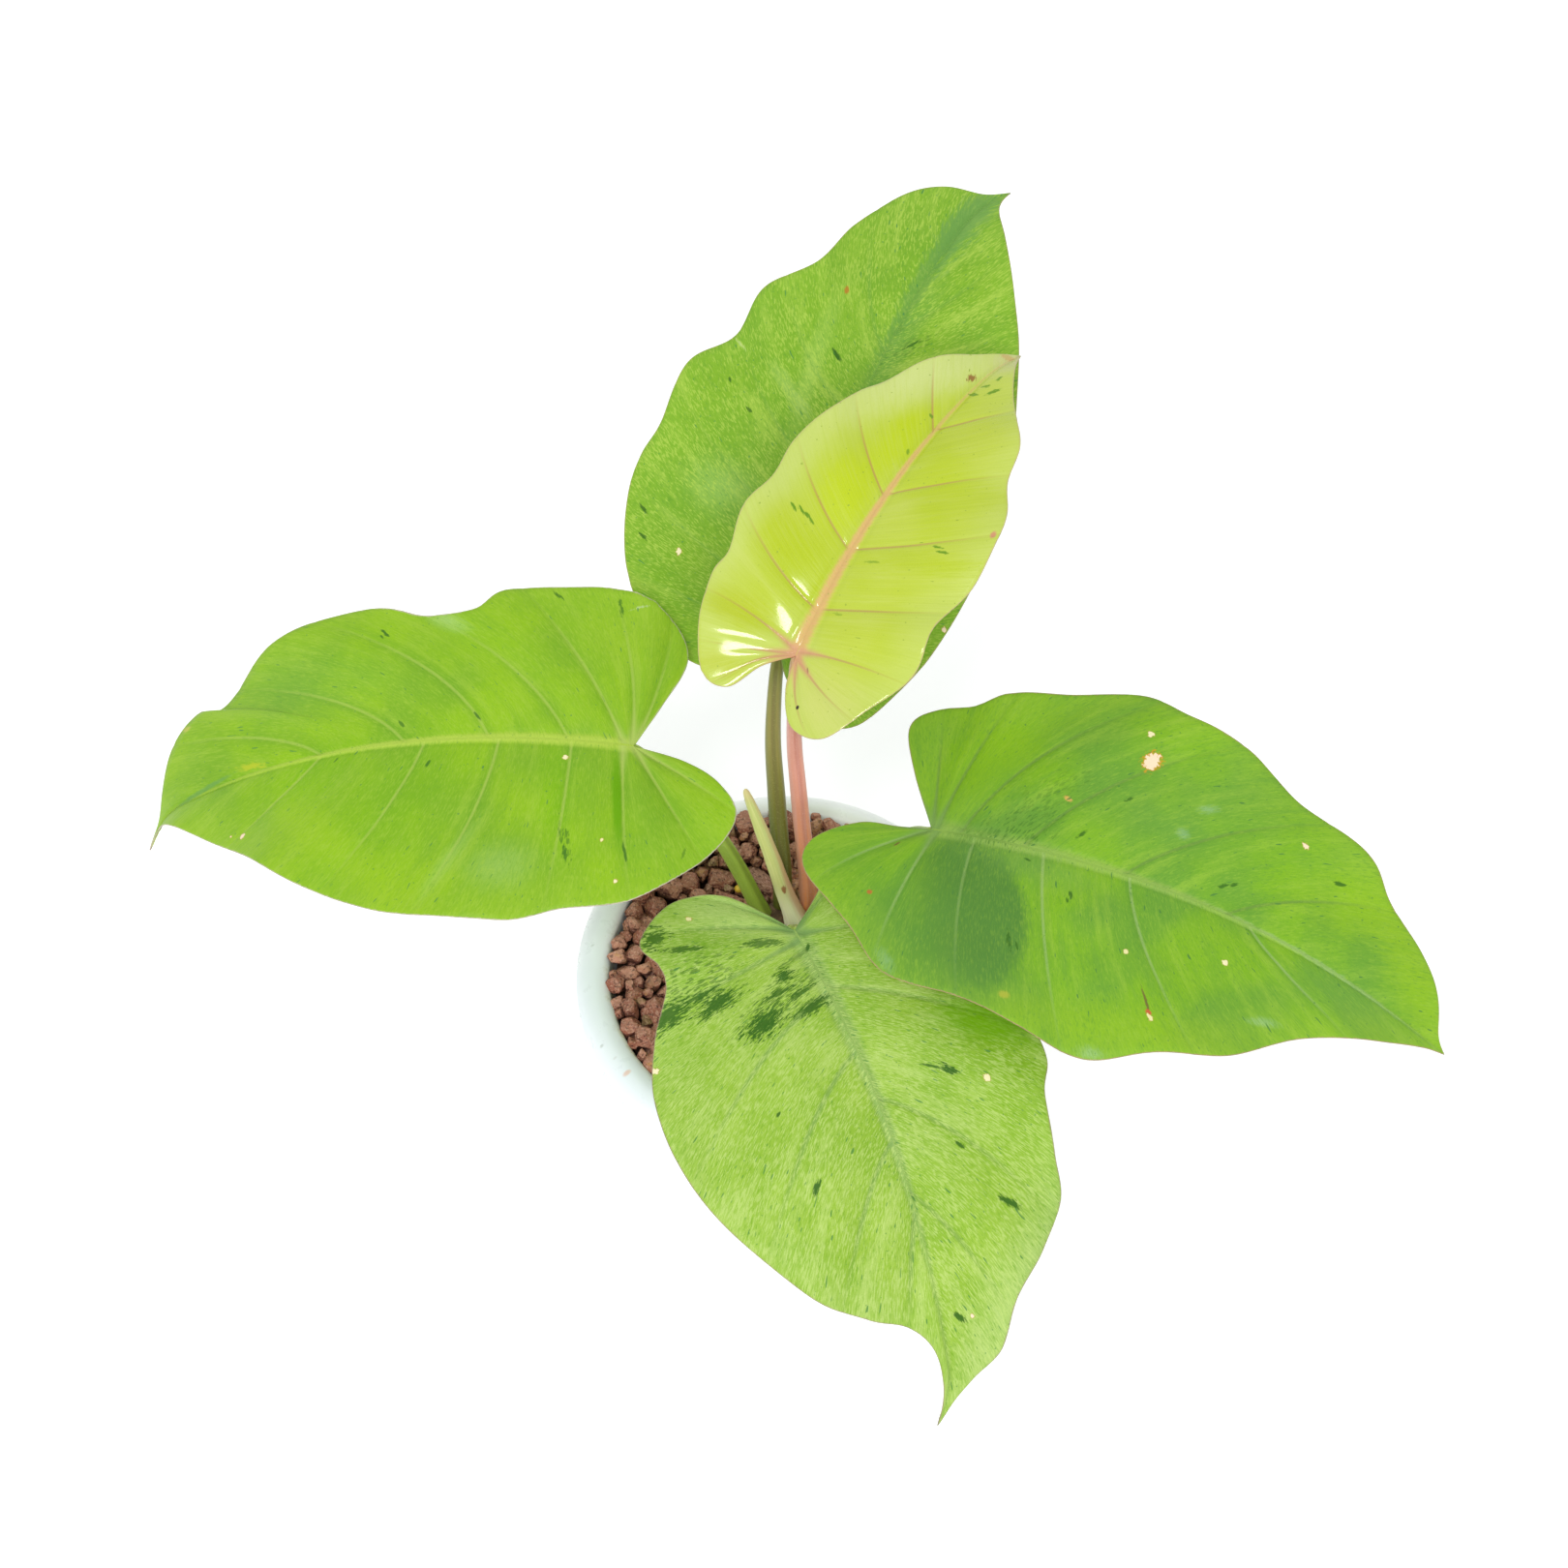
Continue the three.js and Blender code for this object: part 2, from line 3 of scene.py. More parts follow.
import bmesh
import bpy
import numpy as np
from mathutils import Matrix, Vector


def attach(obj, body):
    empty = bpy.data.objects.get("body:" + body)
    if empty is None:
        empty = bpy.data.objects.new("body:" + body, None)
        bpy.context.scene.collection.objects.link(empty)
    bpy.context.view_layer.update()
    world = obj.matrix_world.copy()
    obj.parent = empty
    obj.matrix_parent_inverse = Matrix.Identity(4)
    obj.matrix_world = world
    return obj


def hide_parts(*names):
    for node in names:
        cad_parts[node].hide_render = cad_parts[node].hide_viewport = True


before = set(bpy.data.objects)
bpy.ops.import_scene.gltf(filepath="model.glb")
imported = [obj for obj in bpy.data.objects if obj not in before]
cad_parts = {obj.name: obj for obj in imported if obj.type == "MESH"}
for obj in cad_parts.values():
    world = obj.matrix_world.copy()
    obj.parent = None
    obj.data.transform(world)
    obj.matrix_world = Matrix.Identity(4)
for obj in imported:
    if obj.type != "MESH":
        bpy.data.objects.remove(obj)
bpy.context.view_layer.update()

# Potted jungle fever philodendron. Lengths in the tables are millimetres, as in the solids,
# and every mesh is built in millimetres and written in metres.
MM = 0.001

# Pot and gravel
RIM_RADIUS = 85
RIM_TOP = 125
RIM_INNER_RADIUS = 71
RIM_SKIRT = 21
WALL = 2.4
BASE_RADIUS = 52
FLOOR = 3.5
POT_SIDES = 144
DRAIN_COUNT = 5
DRAIN_RADIUS = 5
DRAIN_CIRCLE = 30
DRAIN_SIDES = 40
BED_TOP = 112
NEAR_HEAP = 1.2
FAR_HEAP = 7.2
HEAP_START = 40
NEAR_SPILL = 0.8
FAR_SPILL = 2.4
CROWN_CENTRE = (1.5, 20)
CROWN_CLEARANCE = 12.6

# Blades: the same seats, bends and flat outlines as the solids, but the young leaf is folded and
# curled a little more for the shape of its highlights. veins lists the side veins of each half
# as (share of the margin where it ends, millimetres along the midrib where it starts, bow). The
# outline runs along the gap between the lobes as far as SINUS_POINT, where the rows of the mesh
# begin.
BLADE_THICKNESS = 0.6
MARGIN_THICKNESS = 0.34
RIB_BASE = 2.6
RIB_TIP = 0.3
TIP_SHARE = 0.14
MIDRIB_STEPS = 200
WAVE_PHASES = {"left": 0.0, "right": 1.7}
LEAVES = {
    "left": {
        "seat": (-57.4, 35.9, 230), "heading": 176.7, "length": 214, "drip": 14,
        "pitch": (8, -46), "pitch_power": 1, "turn": 1, "roll": -9, "fold": 8, "curl": 0.002,
        "hook": 7, "droop": 5, "wave": 2.4, "waves": 4.5, "quilt": 1.2, "band": 2.3,
        "left": [(0, 0), (-20, 4), (-34, 12), (-41, 26), (-29, 46), (-5, 65), (22, 70), (46, 76),
                 (86, 72), (124, 57), (153, 38), (177, 24), (197, 11), (213, 2.2), (228, 0)],
        "right": [(0, 0), (-9, -17), (-17, -38), (-7, -55), (12, -63), (50, -62), (63, -52),
                  (81, -51), (106, -59), (146, -51), (173, -34), (184, -35), (196, -27),
                  (209, -11), (216, -2.2), (228, 0)],
        "veins": {
            "left": [(0.139, 0, -0.06), (0.206, 0, -0.02), (0.299, 4, -0.03), (0.391, 23.4, 0.04),
                     (0.532, 51.1, 0.14), (0.651, 80.4, 0.17), (0.812, 124.4, 0.19)],
            "right": [(0.18, 0, 0.08), (0.261, 0.5, 0.1), (0.361, 3.5, 0.08), (0.473, 24.5, 0.19),
                      (0.625, 55.1, 0.26), (0.754, 88.4, 0.28), (0.872, 124, 0.3)],
        },
    },
    "right": {
        "seat": (55.7, 10, 212), "heading": 347.1, "length": 214.7, "drip": 4,
        "pitch": (4, -34), "pitch_power": 1.2, "turn": -14, "roll": 6, "fold": 10, "curl": 0.002,
        "hook": 1, "droop": 1, "wave": 2.2, "waves": 4.5, "quilt": 1.0, "band": 2.4,
        "left": [(0, 0), (-11, 22), (-16, 40), (-6, 49), (7, 52), (18, 59), (36, 64), (62, 73),
                 (80, 69), (104, 65), (126, 54), (154, 47), (170, 37), (188, 28), (202, 16),
                 (212, 4), (218.7, 0)],
        "right": [(0, 0), (-13, -1), (-28, -2), (-44, -13), (-43, -28), (-22, -48), (-5, -64),
                  (25, -69), (52, -75), (80, -78), (104, -67), (132, -55), (158, -33), (190, -14),
                  (208, -4), (218.7, 0)],
        "veins": {
            "left": [(0.192, 0, -0.04), (0.283, 1.6, 0.04), (0.448, 10.7, 0.15), (0.55, 34.9, 0.13),
                     (0.682, 74, 0.14), (0.811, 114.8, 0.17)],
            "right": [(0.193, 0, 0.2), (0.301, 2.2, 0.07), (0.403, 16.6, 0.1), (0.531, 43.1, 0.1),
                      (0.679, 76.5, 0.19), (0.865, 125, 0.25)],
        },
    },
    "front": {
        "seat": (3.6, -22.6, 192), "heading": 299.5, "length": 190.8, "drip": 10,
        "pitch": (-8, -50), "pitch_power": 1.2, "turn": -18, "roll": 0, "fold": 8, "curl": 0.002,
        "hook": -7, "droop": 2, "wave": 2.4, "waves": 4, "quilt": 1.2, "band": 2.3,
        "left": [(0, 0), (-9, 15), (-20, 28), (-18, 42), (4, 52), (34, 61), (62, 65), (79, 65),
                 (90, 59), (110, 56), (126, 54), (140, 43), (154, 29), (173, 20), (183, 9),
                 (191, 3), (201, 0)],
        "right": [(0, 0), (-11, -7), (-25, -19), (-30, -38), (-20, -56), (-8, -54), (1, -56),
                  (17, -68), (40, -78), (68, -79), (99, -69), (133, -47), (149, -27), (157, -13),
                  (167, -5), (181, -2.5), (201, 0)],
        "veins": {
            "left": [(0.17, 0, 0.02), (0.317, 1.8, 0.0), (0.479, 24.6, 0.04), (0.7, 70.8, 0.15),
                     (0.83, 108, 0.16)],
            "right": [(0.13, 0, 0.1), (0.21, 0, 0.08), (0.32, 4.5, 0.0), (0.54, 27.2, 0.18),
                      (0.668, 52.1, 0.21), (0.775, 88, 0.22), (0.86, 116, 0.2)],
        },
    },
    "young": {
        "seat": (4, 47.8, 272), "heading": 61.4, "length": 151.9, "drip": 3,
        "pitch": (28, -8), "pitch_power": 1.2, "turn": -12, "roll": 0, "fold": 15.5, "curl": 0.005,
        "hook": -2, "droop": 1, "wave": 1.6, "waves": 5, "quilt": 1.2, "band": 3.4,
        "left": [(0, 0), (-9, 10), (-21, 18), (-20, 29), (-5, 37), (14, 42), (24, 40), (40, 43),
                 (54, 40), (70, 41), (88, 35), (99, 32), (108, 27), (126, 19), (144, 7), (154.9, 0)],
        "right": [(0, 0), (-13, -2), (-25, -11), (-24, -25), (-9, -35), (11, -46), (30, -45),
                  (50, -50), (70, -49), (82, -46), (95, -38), (109, -34), (120, -25), (132, -15),
                  (146, -5), (154.9, 0)],
        "veins": {
            "left": [(0.152, 0, -0.12), (0.226, 0.8, 0.03), (0.31, 1.5, -0.08), (0.451, 18.3, 0.11),
                     (0.59, 43.5, 0.1), (0.706, 68.2, 0.09), (0.85, 101, 0.03)],
            "right": [(0.154, 0, 0.12), (0.229, 0, 0.1), (0.324, 1.8, -0.05), (0.454, 19.1, 0.04),
                      (0.603, 44.6, 0.08), (0.717, 69.7, 0.02), (0.85, 103, 0.08)],
        },
    },
    "back": {
        "seat": (-1.9, 81.6, 236), "heading": 72, "length": 203.1, "drip": 8,
        "pitch": (37, 3), "pitch_power": 1.1, "turn": -16, "roll": 0, "fold": 1, "curl": 0.002,
        "hook": -6, "droop": 3, "wave": 2.4, "waves": 4.5, "quilt": 1.0, "band": 2.0,
        "left": [(0, 0), (-12, 9), (-18, 27), (-10, 48), (8, 65), (36, 76), (52, 77), (66, 73),
                 (90, 72), (106, 60), (127, 58), (144, 42), (166, 39), (184, 31), (197, 18),
                 (203, 5), (211.1, 0)],
        "right": [(0, 0), (-14, -6), (-27, -22), (-25, -37), (-8, -50), (12, -59), (47, -67),
                  (76, -66), (108, -60), (142, -47), (166, -33), (186, -18), (200, -5), (211.1, 0)],
        "veins": {
            "left": [(0.17, 0, 0.0), (0.27, 1, 0.02), (0.38, 12, 0.05), (0.499, 37, 0.08),
                     (0.6, 62, 0.14), (0.69, 90.8, 0.2), (0.839, 119.4, 0.22)],
            "right": [(0.17, 0, 0.05), (0.28, 1, 0.04), (0.4, 14, 0.06), (0.51, 40, 0.1),
                      (0.62, 68, 0.14), (0.735, 99, 0.18), (0.87, 131, 0.25)],
        },
    },
}
SINUS_POINT = 2
SINUS_SPREAD = 0.08
TIP_BOW = 0.1
FULL_SWELL = 32
ROW_STEP = 1.9
COLUMNS = 40
COLUMN_POWER = 1.35
VEIN_ROWS = (-1.5, -0.75, 0.75, 1.5)
VEIN_STEPS = 61
ROOT_GAP = 0.12
TIP_GAP = 0.15
MARGIN_GAP = 0.3
MARGIN_STRIDE = 6
GROOVE_DEPTH = 0.42
GROOVE_WIDTH = 1.0
BAND_GROOVE = 0.3
RIB_RISE = 0.3
UNDER_VEIN = 0.75
UNDER_VEIN_WIDTH = 1.1
RIPPLE = 0.22
RIPPLE_WAVES = 9
RIPPLE_LENGTHS = (14, 34)
MARGIN_BULGE = 0.14
FLOW_START = 40
FAR_AWAY = 9.0

# Petioles and cataphyll: the same axes and radii as the solids, but the foot of the cataphyll
# leans further to the right
PETIOLES = {
    "left": {"radii": (3.8, 3.2, 2.5), "slot": "petiole_green",
             "axis": [(-5.5, 20.5, 116), (-9.9, 22.4, 130), (-18, 25.8, 155), (-25.3, 28.2, 175),
                      (-42, 33, 207)]},
    "right": {"radii": (3.8, 3.2, 2.5), "slot": "petiole_green",
              "axis": [(9.5, 15.5, 116), (13, 17.5, 130), (22, 22, 150), (36, 24, 174),
                       (49, 17.5, 197)]},
    "front": {"radii": (3.8, 3.2, 2.5), "slot": "petiole_green",
              "axis": [(1, 11.5, 116), (2, 9, 128), (3, 1, 148), (3.4, -9, 168), (3.6, -17, 181)]},
    "young": {"radii": (3.8, 3.3, 2.5), "slot": "petiole_pink",
              "axis": [(8.8, 24.5, 116), (10, 25, 130), (6.6, 35, 177), (3.8, 41, 219),
                       (3.6, 45, 255)]},
    "back": {"radii": (4, 3.6, 2.4), "slot": "petiole_olive",
             "axis": [(-0.5, 26, 116), (-0.8, 28, 140), (-2.6, 39, 170), (-4.6, 56, 205),
                      (-3.6, 71, 225)]},
}
PETIOLE_STEPS = 90
PETIOLE_SIDES = 28
PETIOLE_GROOVE = 0.22
PETIOLE_GROOVE_WIDTH = 0.5
CATAPHYLL_AXIS = [(6.2, 18.6, 118), (4.4, 17, 132), (-0.4, 18.6, 152), (-6, 21, 178),
                  (-14.8, 25.3, 214), (-15.2, 25.5, 216)]
TOWARDS_VIEWER = (0.0, -1.0, 0.0)
SHEATH_SIDES = 48
CATAPHYLL_WIDTH = 8.0
CATAPHYLL_DEPTH = 8.6
CATAPHYLL_STATIONS = (0, 0.08, 0.18, 0.3, 0.5, 0.7, 0.86, 0.94, 0.985, 1)
CATAPHYLL_SIZES = (1.4, 1.36, 1.12, 0.92, 0.8, 0.7, 0.55, 0.42, 0.3, 0.06)


def clamp01(value):
    return np.clip(value, 0.0, 1.0)


def mix(a, b, share):
    return a + (b - a) * share


def smooth(low, high, value):
    share = clamp01((value - low) / (high - low))
    return share * share * (3 - 2 * share)


def unit(vectors):
    return vectors / np.maximum(np.linalg.norm(vectors, axis=-1, keepdims=True), 1e-12)


# Curves

SPAN_STEPS = 60


def spaced_evenly(points, count):
    """The same line with count points at equal distances."""
    steps = np.linalg.norm(np.diff(points, axis=0), axis=1)
    reach = np.concatenate([[0], np.cumsum(steps)])
    wanted = np.linspace(0, reach[-1], count)
    return np.stack([np.interp(wanted, reach, column) for column in points.T], -1)


def cubic_span(here, after, leave, arrive, share):
    """The cubic curve from here to after, with its slopes at both ends."""
    return ((2 * here - 2 * after + leave + arrive) * share ** 3
            + (-3 * here + 3 * after - 2 * leave - arrive) * share ** 2 + leave * share + here)


def flat_spline(points, count=1201):
    """A smooth curve through the points of a flat outline, as points at equal distances."""
    points = np.array(points, float)
    last = len(points) - 1
    at = np.linspace(0, last, 4 * count)
    start = np.minimum(at.astype(int), last - 1)
    here, after = points[start], points[start + 1]
    leave = (after - points[np.maximum(start - 1, 0)]) / 2
    arrive = (points[np.minimum(start + 2, last)] - here) / 2
    return spaced_evenly(cubic_span(here, after, leave, arrive, (at - start)[:, None]), count)


def space_spline(points, count):
    """A smooth curve through uneven points in space, as points at equal distances."""
    points = np.array(points, float)
    points = np.vstack([2 * points[0] - points[1], points, 2 * points[-1] - points[-2]])
    share = np.linspace(0, 1, SPAN_STEPS)[:, None]
    pieces = []
    for index in range(1, len(points) - 2):
        around = points[index - 1:index + 3]
        before, here, after, beyond = around
        gaps = np.sqrt(np.linalg.norm(np.diff(around, axis=0), axis=1))
        leave = gaps[1] * ((here - before) / gaps[0] - (after - before) / (gaps[0] + gaps[1])
                           + (after - here) / gaps[1])
        arrive = gaps[1] * ((after - here) / gaps[1] - (beyond - here) / (gaps[1] + gaps[2])
                            + (beyond - after) / gaps[2])
        pieces.append(cubic_span(here, after, leave, arrive, share))
    return spaced_evenly(np.vstack(pieces), count)


def distance_to_line(points, line):
    """Distance of flat points to a polyline, and the share of its length where it is nearest."""
    start, step = line[:-1], np.diff(line, axis=0)
    lengths = np.maximum(np.linalg.norm(step, axis=1), 1e-9)
    reach = np.concatenate([[0], np.cumsum(lengths)])
    best = np.full(len(points), 1e9)
    share = np.zeros(len(points))
    for index in range(len(step)):
        along = clamp01(((points - start[index]) @ step[index]) / lengths[index] ** 2)
        gap = np.linalg.norm(points - start[index] - along[:, None] * step[index], axis=1)
        nearer = gap < best
        best[nearer] = gap[nearer]
        share[nearer] = (reach[index] + along[nearer] * lengths[index]) / reach[-1]
    return best, share


# Meshes

def add_object(name, data):
    made = bpy.data.objects.new(name, data)
    bpy.context.scene.collection.objects.link(made)
    return made


def mesh_object(name, points, faces, materials, attributes=None, face_slots=None):
    """A smooth mesh piece from points in millimetres, with named values on its points."""
    data = bpy.data.meshes.new(name)
    data.from_pydata((np.asarray(points) * MM).tolist(), [], faces)
    for key, values in (attributes or {}).items():
        layer = data.attributes.new(key, "FLOAT_VECTOR", "POINT")
        layer.data.foreach_set("vector", np.asarray(values, np.float32).ravel())
    for material in materials:
        data.materials.append(material)
    if face_slots is not None:
        data.polygons.foreach_set("material_index", face_slots)
    data.polygons.foreach_set("use_smooth", [True] * len(data.polygons))
    data.update()
    return add_object(name, data)


def closed_piece(name, points, faces, materials, attributes=None, face_slots=None):
    """A mesh piece with every face turned to the outside."""
    piece = mesh_object(name, points, faces, materials, attributes, face_slots)
    work = bmesh.new()
    work.from_mesh(piece.data)
    bmesh.ops.recalc_face_normals(work, faces=work.faces)
    work.to_mesh(piece.data)
    work.free()
    return piece


def ring_piece(name, rings, middles, material, attributes=None):
    """A closed piece: rings of points, with a fan to a middle point at either end."""
    count, sides = rings.shape[:2]
    first, last, top = count * sides, count * sides + 1, (count - 1) * sides
    following = [*range(1, sides), 0]
    faces = []
    for low in range(0, top, sides):
        for side in range(sides):
            a, b = low + side, low + following[side]
            faces.append([a, b, b + sides, a + sides])
    for side in range(sides):
        faces.append([first, following[side], side])
        faces.append([last, top + side, top + following[side]])
    points = np.vstack([rings.reshape(-1, 3), middles])
    return closed_piece(name, points, faces, [material], attributes)


def settle(piece, slot, *nodes):
    """The piece rides on the one body and stands for its nodes. slot is not used."""
    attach(piece, "root")
    if nodes:
        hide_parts(*nodes)


# Leaf surface

class Blade:
    """The bent, folded sheet that a flat leaf pattern lies on."""

    def __init__(self, leaf):
        self.leaf = leaf
        self.tip_x = leaf["length"] + leaf["drip"]
        share = np.linspace(0, 1, MIDRIB_STEPS + 1)
        heading = np.radians(leaf["heading"] + leaf["turn"] * share)
        pitch = np.radians(mix(leaf["pitch"][0], leaf["pitch"][1], share ** leaf["pitch_power"]))
        level = np.stack([-np.sin(heading), np.cos(heading), 0 * heading], -1)
        self.along = np.stack([np.cos(pitch) * np.cos(heading), np.cos(pitch) * np.sin(heading),
                               np.sin(pitch)], -1)
        upward = np.cross(self.along, level)
        roll = math.radians(leaf["roll"])
        self.side = level * math.cos(roll) + upward * math.sin(roll)
        self.normal = upward * math.cos(roll) - level * math.sin(roll)
        steps = (self.along[1:] + self.along[:-1]) / 2 * leaf["length"] / MIDRIB_STEPS
        self.place = np.vstack([leaf["seat"], np.array(leaf["seat"]) + np.cumsum(steps, 0)])

    def frame_at(self, x, table):
        """A place or direction of the midrib, x millimetres from the seat."""
        station = clamp01(x / self.leaf["length"]) * MIDRIB_STEPS
        steps = np.arange(MIDRIB_STEPS + 1)
        return np.stack([np.interp(station, steps, column) for column in table.T], -1)

    def point(self, x, y, lift):
        """Where the flat point x, y lies in space, lifted off the sheet."""
        leaf = self.leaf
        beyond = x - np.clip(x, 0, leaf["length"])
        tip = clamp01((x / self.tip_x - 1 + TIP_SHARE) / TIP_SHARE) ** 2
        fold = math.radians(leaf["fold"])
        width = np.abs(y)
        reach = (math.sin(fold) - np.sin(fold - leaf["curl"] * width)) / leaf["curl"]
        rise = (np.cos(fold - leaf["curl"] * width) - math.cos(fold)) / leaf["curl"]
        sideways = (np.sign(y) * reach + leaf["hook"] * tip)[..., None]
        upwards = (rise + lift - leaf["droop"] * tip)[..., None]
        return (self.frame_at(x, self.place) + self.frame_at(x, self.along) * beyond[..., None]
                + self.frame_at(x, self.side) * sideways + self.frame_at(x, self.normal) * upwards)


class Half:
    """One half of the flat pattern: its margin, and the veins that run out to it."""

    def __init__(self, leaf, side, tip_x):
        self.side = side
        self.margin = flat_spline(leaf[side])
        self.length = np.linalg.norm(np.diff(self.margin, axis=0), axis=1).sum()
        corner = np.array([leaf[side][SINUS_POINT]], float)
        self.start = distance_to_line(corner, self.margin)[1][0]
        veins = [(self.start, 0.0, 0.0), *leaf["veins"][side], (1.0, tip_x, TIP_BOW)]
        self.ends, self.roots, self.bows = np.array(veins).T

    def fan_end(self):
        """The margin share of the last vein that starts at the seat."""
        return self.ends[self.roots <= 0].max()

    def share_of_root(self, x):
        """The margin share where a vein from x on the midrib would end."""
        out = self.roots > 0
        first = np.argmax(out) - 1
        return np.interp(x, self.roots[first:], self.ends[first:])

    def margin_at(self, share):
        stations = np.linspace(0, 1, len(self.margin))
        return [np.interp(share, stations, column) for column in self.margin.T]

    def pattern(self, w, r):
        """Flat x and y at share r of the way out to share w of the margin, and the vein's length."""
        end_x, end_y = self.margin_at(w)
        root = np.interp(w, self.ends, self.roots)
        chord = np.hypot(end_x - root, end_y)
        middle = (root + end_x) / 2 - np.interp(w, self.ends, self.bows) * chord
        x = (1 - r) ** 2 * root + 2 * r * (1 - r) * middle + r * r * end_x
        hold = 1 - smooth(self.start, self.start + SINUS_SPREAD, w)
        edge = self.margin_at(r * self.start)
        corner = self.margin_at(self.start)
        x = x + hold * (edge[0] - r * corner[0])
        y = r * end_y + hold * (edge[1] - r * corner[1])
        return x, y, chord

    def bulge(self, w, r):
        """How far the leaf swells between its side veins, as a share."""
        before = np.clip(np.searchsorted(self.ends, w, side="right") - 1, 0, len(self.ends) - 2)
        span = self.ends[before + 1] - self.ends[before]
        place = (w - self.ends[before]) / span
        size = np.minimum(1, span * self.length / FULL_SWELL)
        return np.sin(np.pi * place) ** 1.3 * size * (1 - np.exp(-5 * r)) * (1 - 0.45 * r * r)


def merged_roots(halves, tip_x):
    """Places along the midrib where rows start, shared by both halves."""
    wanted, exact = [], []
    for half in halves.values():
        fan = half.fan_end()
        count = int((1 - fan) * half.length / ROW_STEP)
        rows = list(np.linspace(fan, 1, count))
        inner = [(end, root) for end, root in zip(half.ends, half.roots) if 0 < root < tip_x]
        for end, _ in inner:
            rows += [end] + [end + offset / half.length for offset in VEIN_ROWS]
        rows = np.array([w for w in rows if fan < w < 1])
        wanted += list(np.interp(rows, half.ends, half.roots))
        exact += [root for _, root in inner]
    kept = []
    for x in sorted(wanted + exact):
        near = kept and x - kept[-1] < ROOT_GAP
        if near and x in exact:
            kept[-1] = x
        elif not near:
            kept.append(x)
    return np.array([x for x in kept if x < tip_x - TIP_GAP])


def fan_rows(half):
    """Shares of the margin round the lobe, where every vein starts at the seat."""
    fan = half.fan_end()
    rows = list(np.linspace(half.start, fan, int((fan - half.start) * half.length / ROW_STEP) + 2))
    for end, root in zip(half.ends[1:], half.roots[1:]):
        if root <= 0:
            rows += [end + offset / half.length for offset in VEIN_ROWS]
            rows.append(end)
    rows = sorted(w for w in rows if half.start + MARGIN_GAP / half.length < w <= fan)
    kept = [half.start]
    for w in rows:
        if (w - kept[-1]) * half.length > MARGIN_GAP:
            kept.append(w)
    kept[-1] = fan
    return np.array(kept)


def undulation(x, y, seed):
    """A gentle seeded unevenness from crossed waves, between about -1 and 1."""
    random = np.random.default_rng(seed)
    total = np.zeros_like(x)
    for _ in range(RIPPLE_WAVES):
        angle = random.uniform(0, 2 * math.pi)
        length = random.uniform(*RIPPLE_LENGTHS)
        total += np.sin((x * math.cos(angle) + y * math.sin(angle)) * 2 * math.pi / length
                        + random.uniform(0, 6))
    return total / 4


def surface_normals(points, faces):
    """Point normals of an open mesh of quads and triangles."""
    normals = np.zeros_like(points)
    for size in (3, 4):
        group = np.array([face for face in faces if len(face) == size])
        if len(group):
            corners = points[group]
            away = np.cross(corners[:, 2] - corners[:, 0], corners[:, -1] - corners[:, 1])
            for corner in range(size):
                np.add.at(normals, group[:, corner], away)
    return unit(normals)


def half_relief(leaf, half, w, r, x, y):
    """Lift of one half by its waves, swellings and grooves, and the distances that shape them."""
    swing = np.sin(2 * np.pi * leaf["waves"] * w + WAVE_PHASES[half.side])
    lift = leaf["wave"] * r ** 2 * swing * smooth(half.start, half.start + 0.1, w)
    lift = lift * (1 - smooth(0.85, 1, w)) + leaf["quilt"] * half.bulge(w, r)
    spots = np.stack([x.ravel(), y.ravel()], -1)
    nearest = np.full(len(spots), FAR_AWAY)
    share = np.zeros(len(spots))
    outwards = np.linspace(0, 1, VEIN_STEPS)
    for end in half.ends[1:-1]:
        line = np.stack(half.pattern(np.full(VEIN_STEPS, end), outwards)[:2], -1)
        gap, place = distance_to_line(spots, line)
        nearer = gap < nearest
        nearest[nearer] = gap[nearer]
        share[nearer] = place[nearer]
    inwards, _ = distance_to_line(spots, half.margin[::MARGIN_STRIDE])
    nearest, share, inwards = (values.reshape(w.shape) for values in (nearest, share, inwards))
    groove = GROOVE_DEPTH * np.exp(-(nearest / GROOVE_WIDTH) ** 2)
    lift -= groove * (1 - 0.65 * share) * smooth(0, 0.04, r)
    return lift, nearest, share, inwards


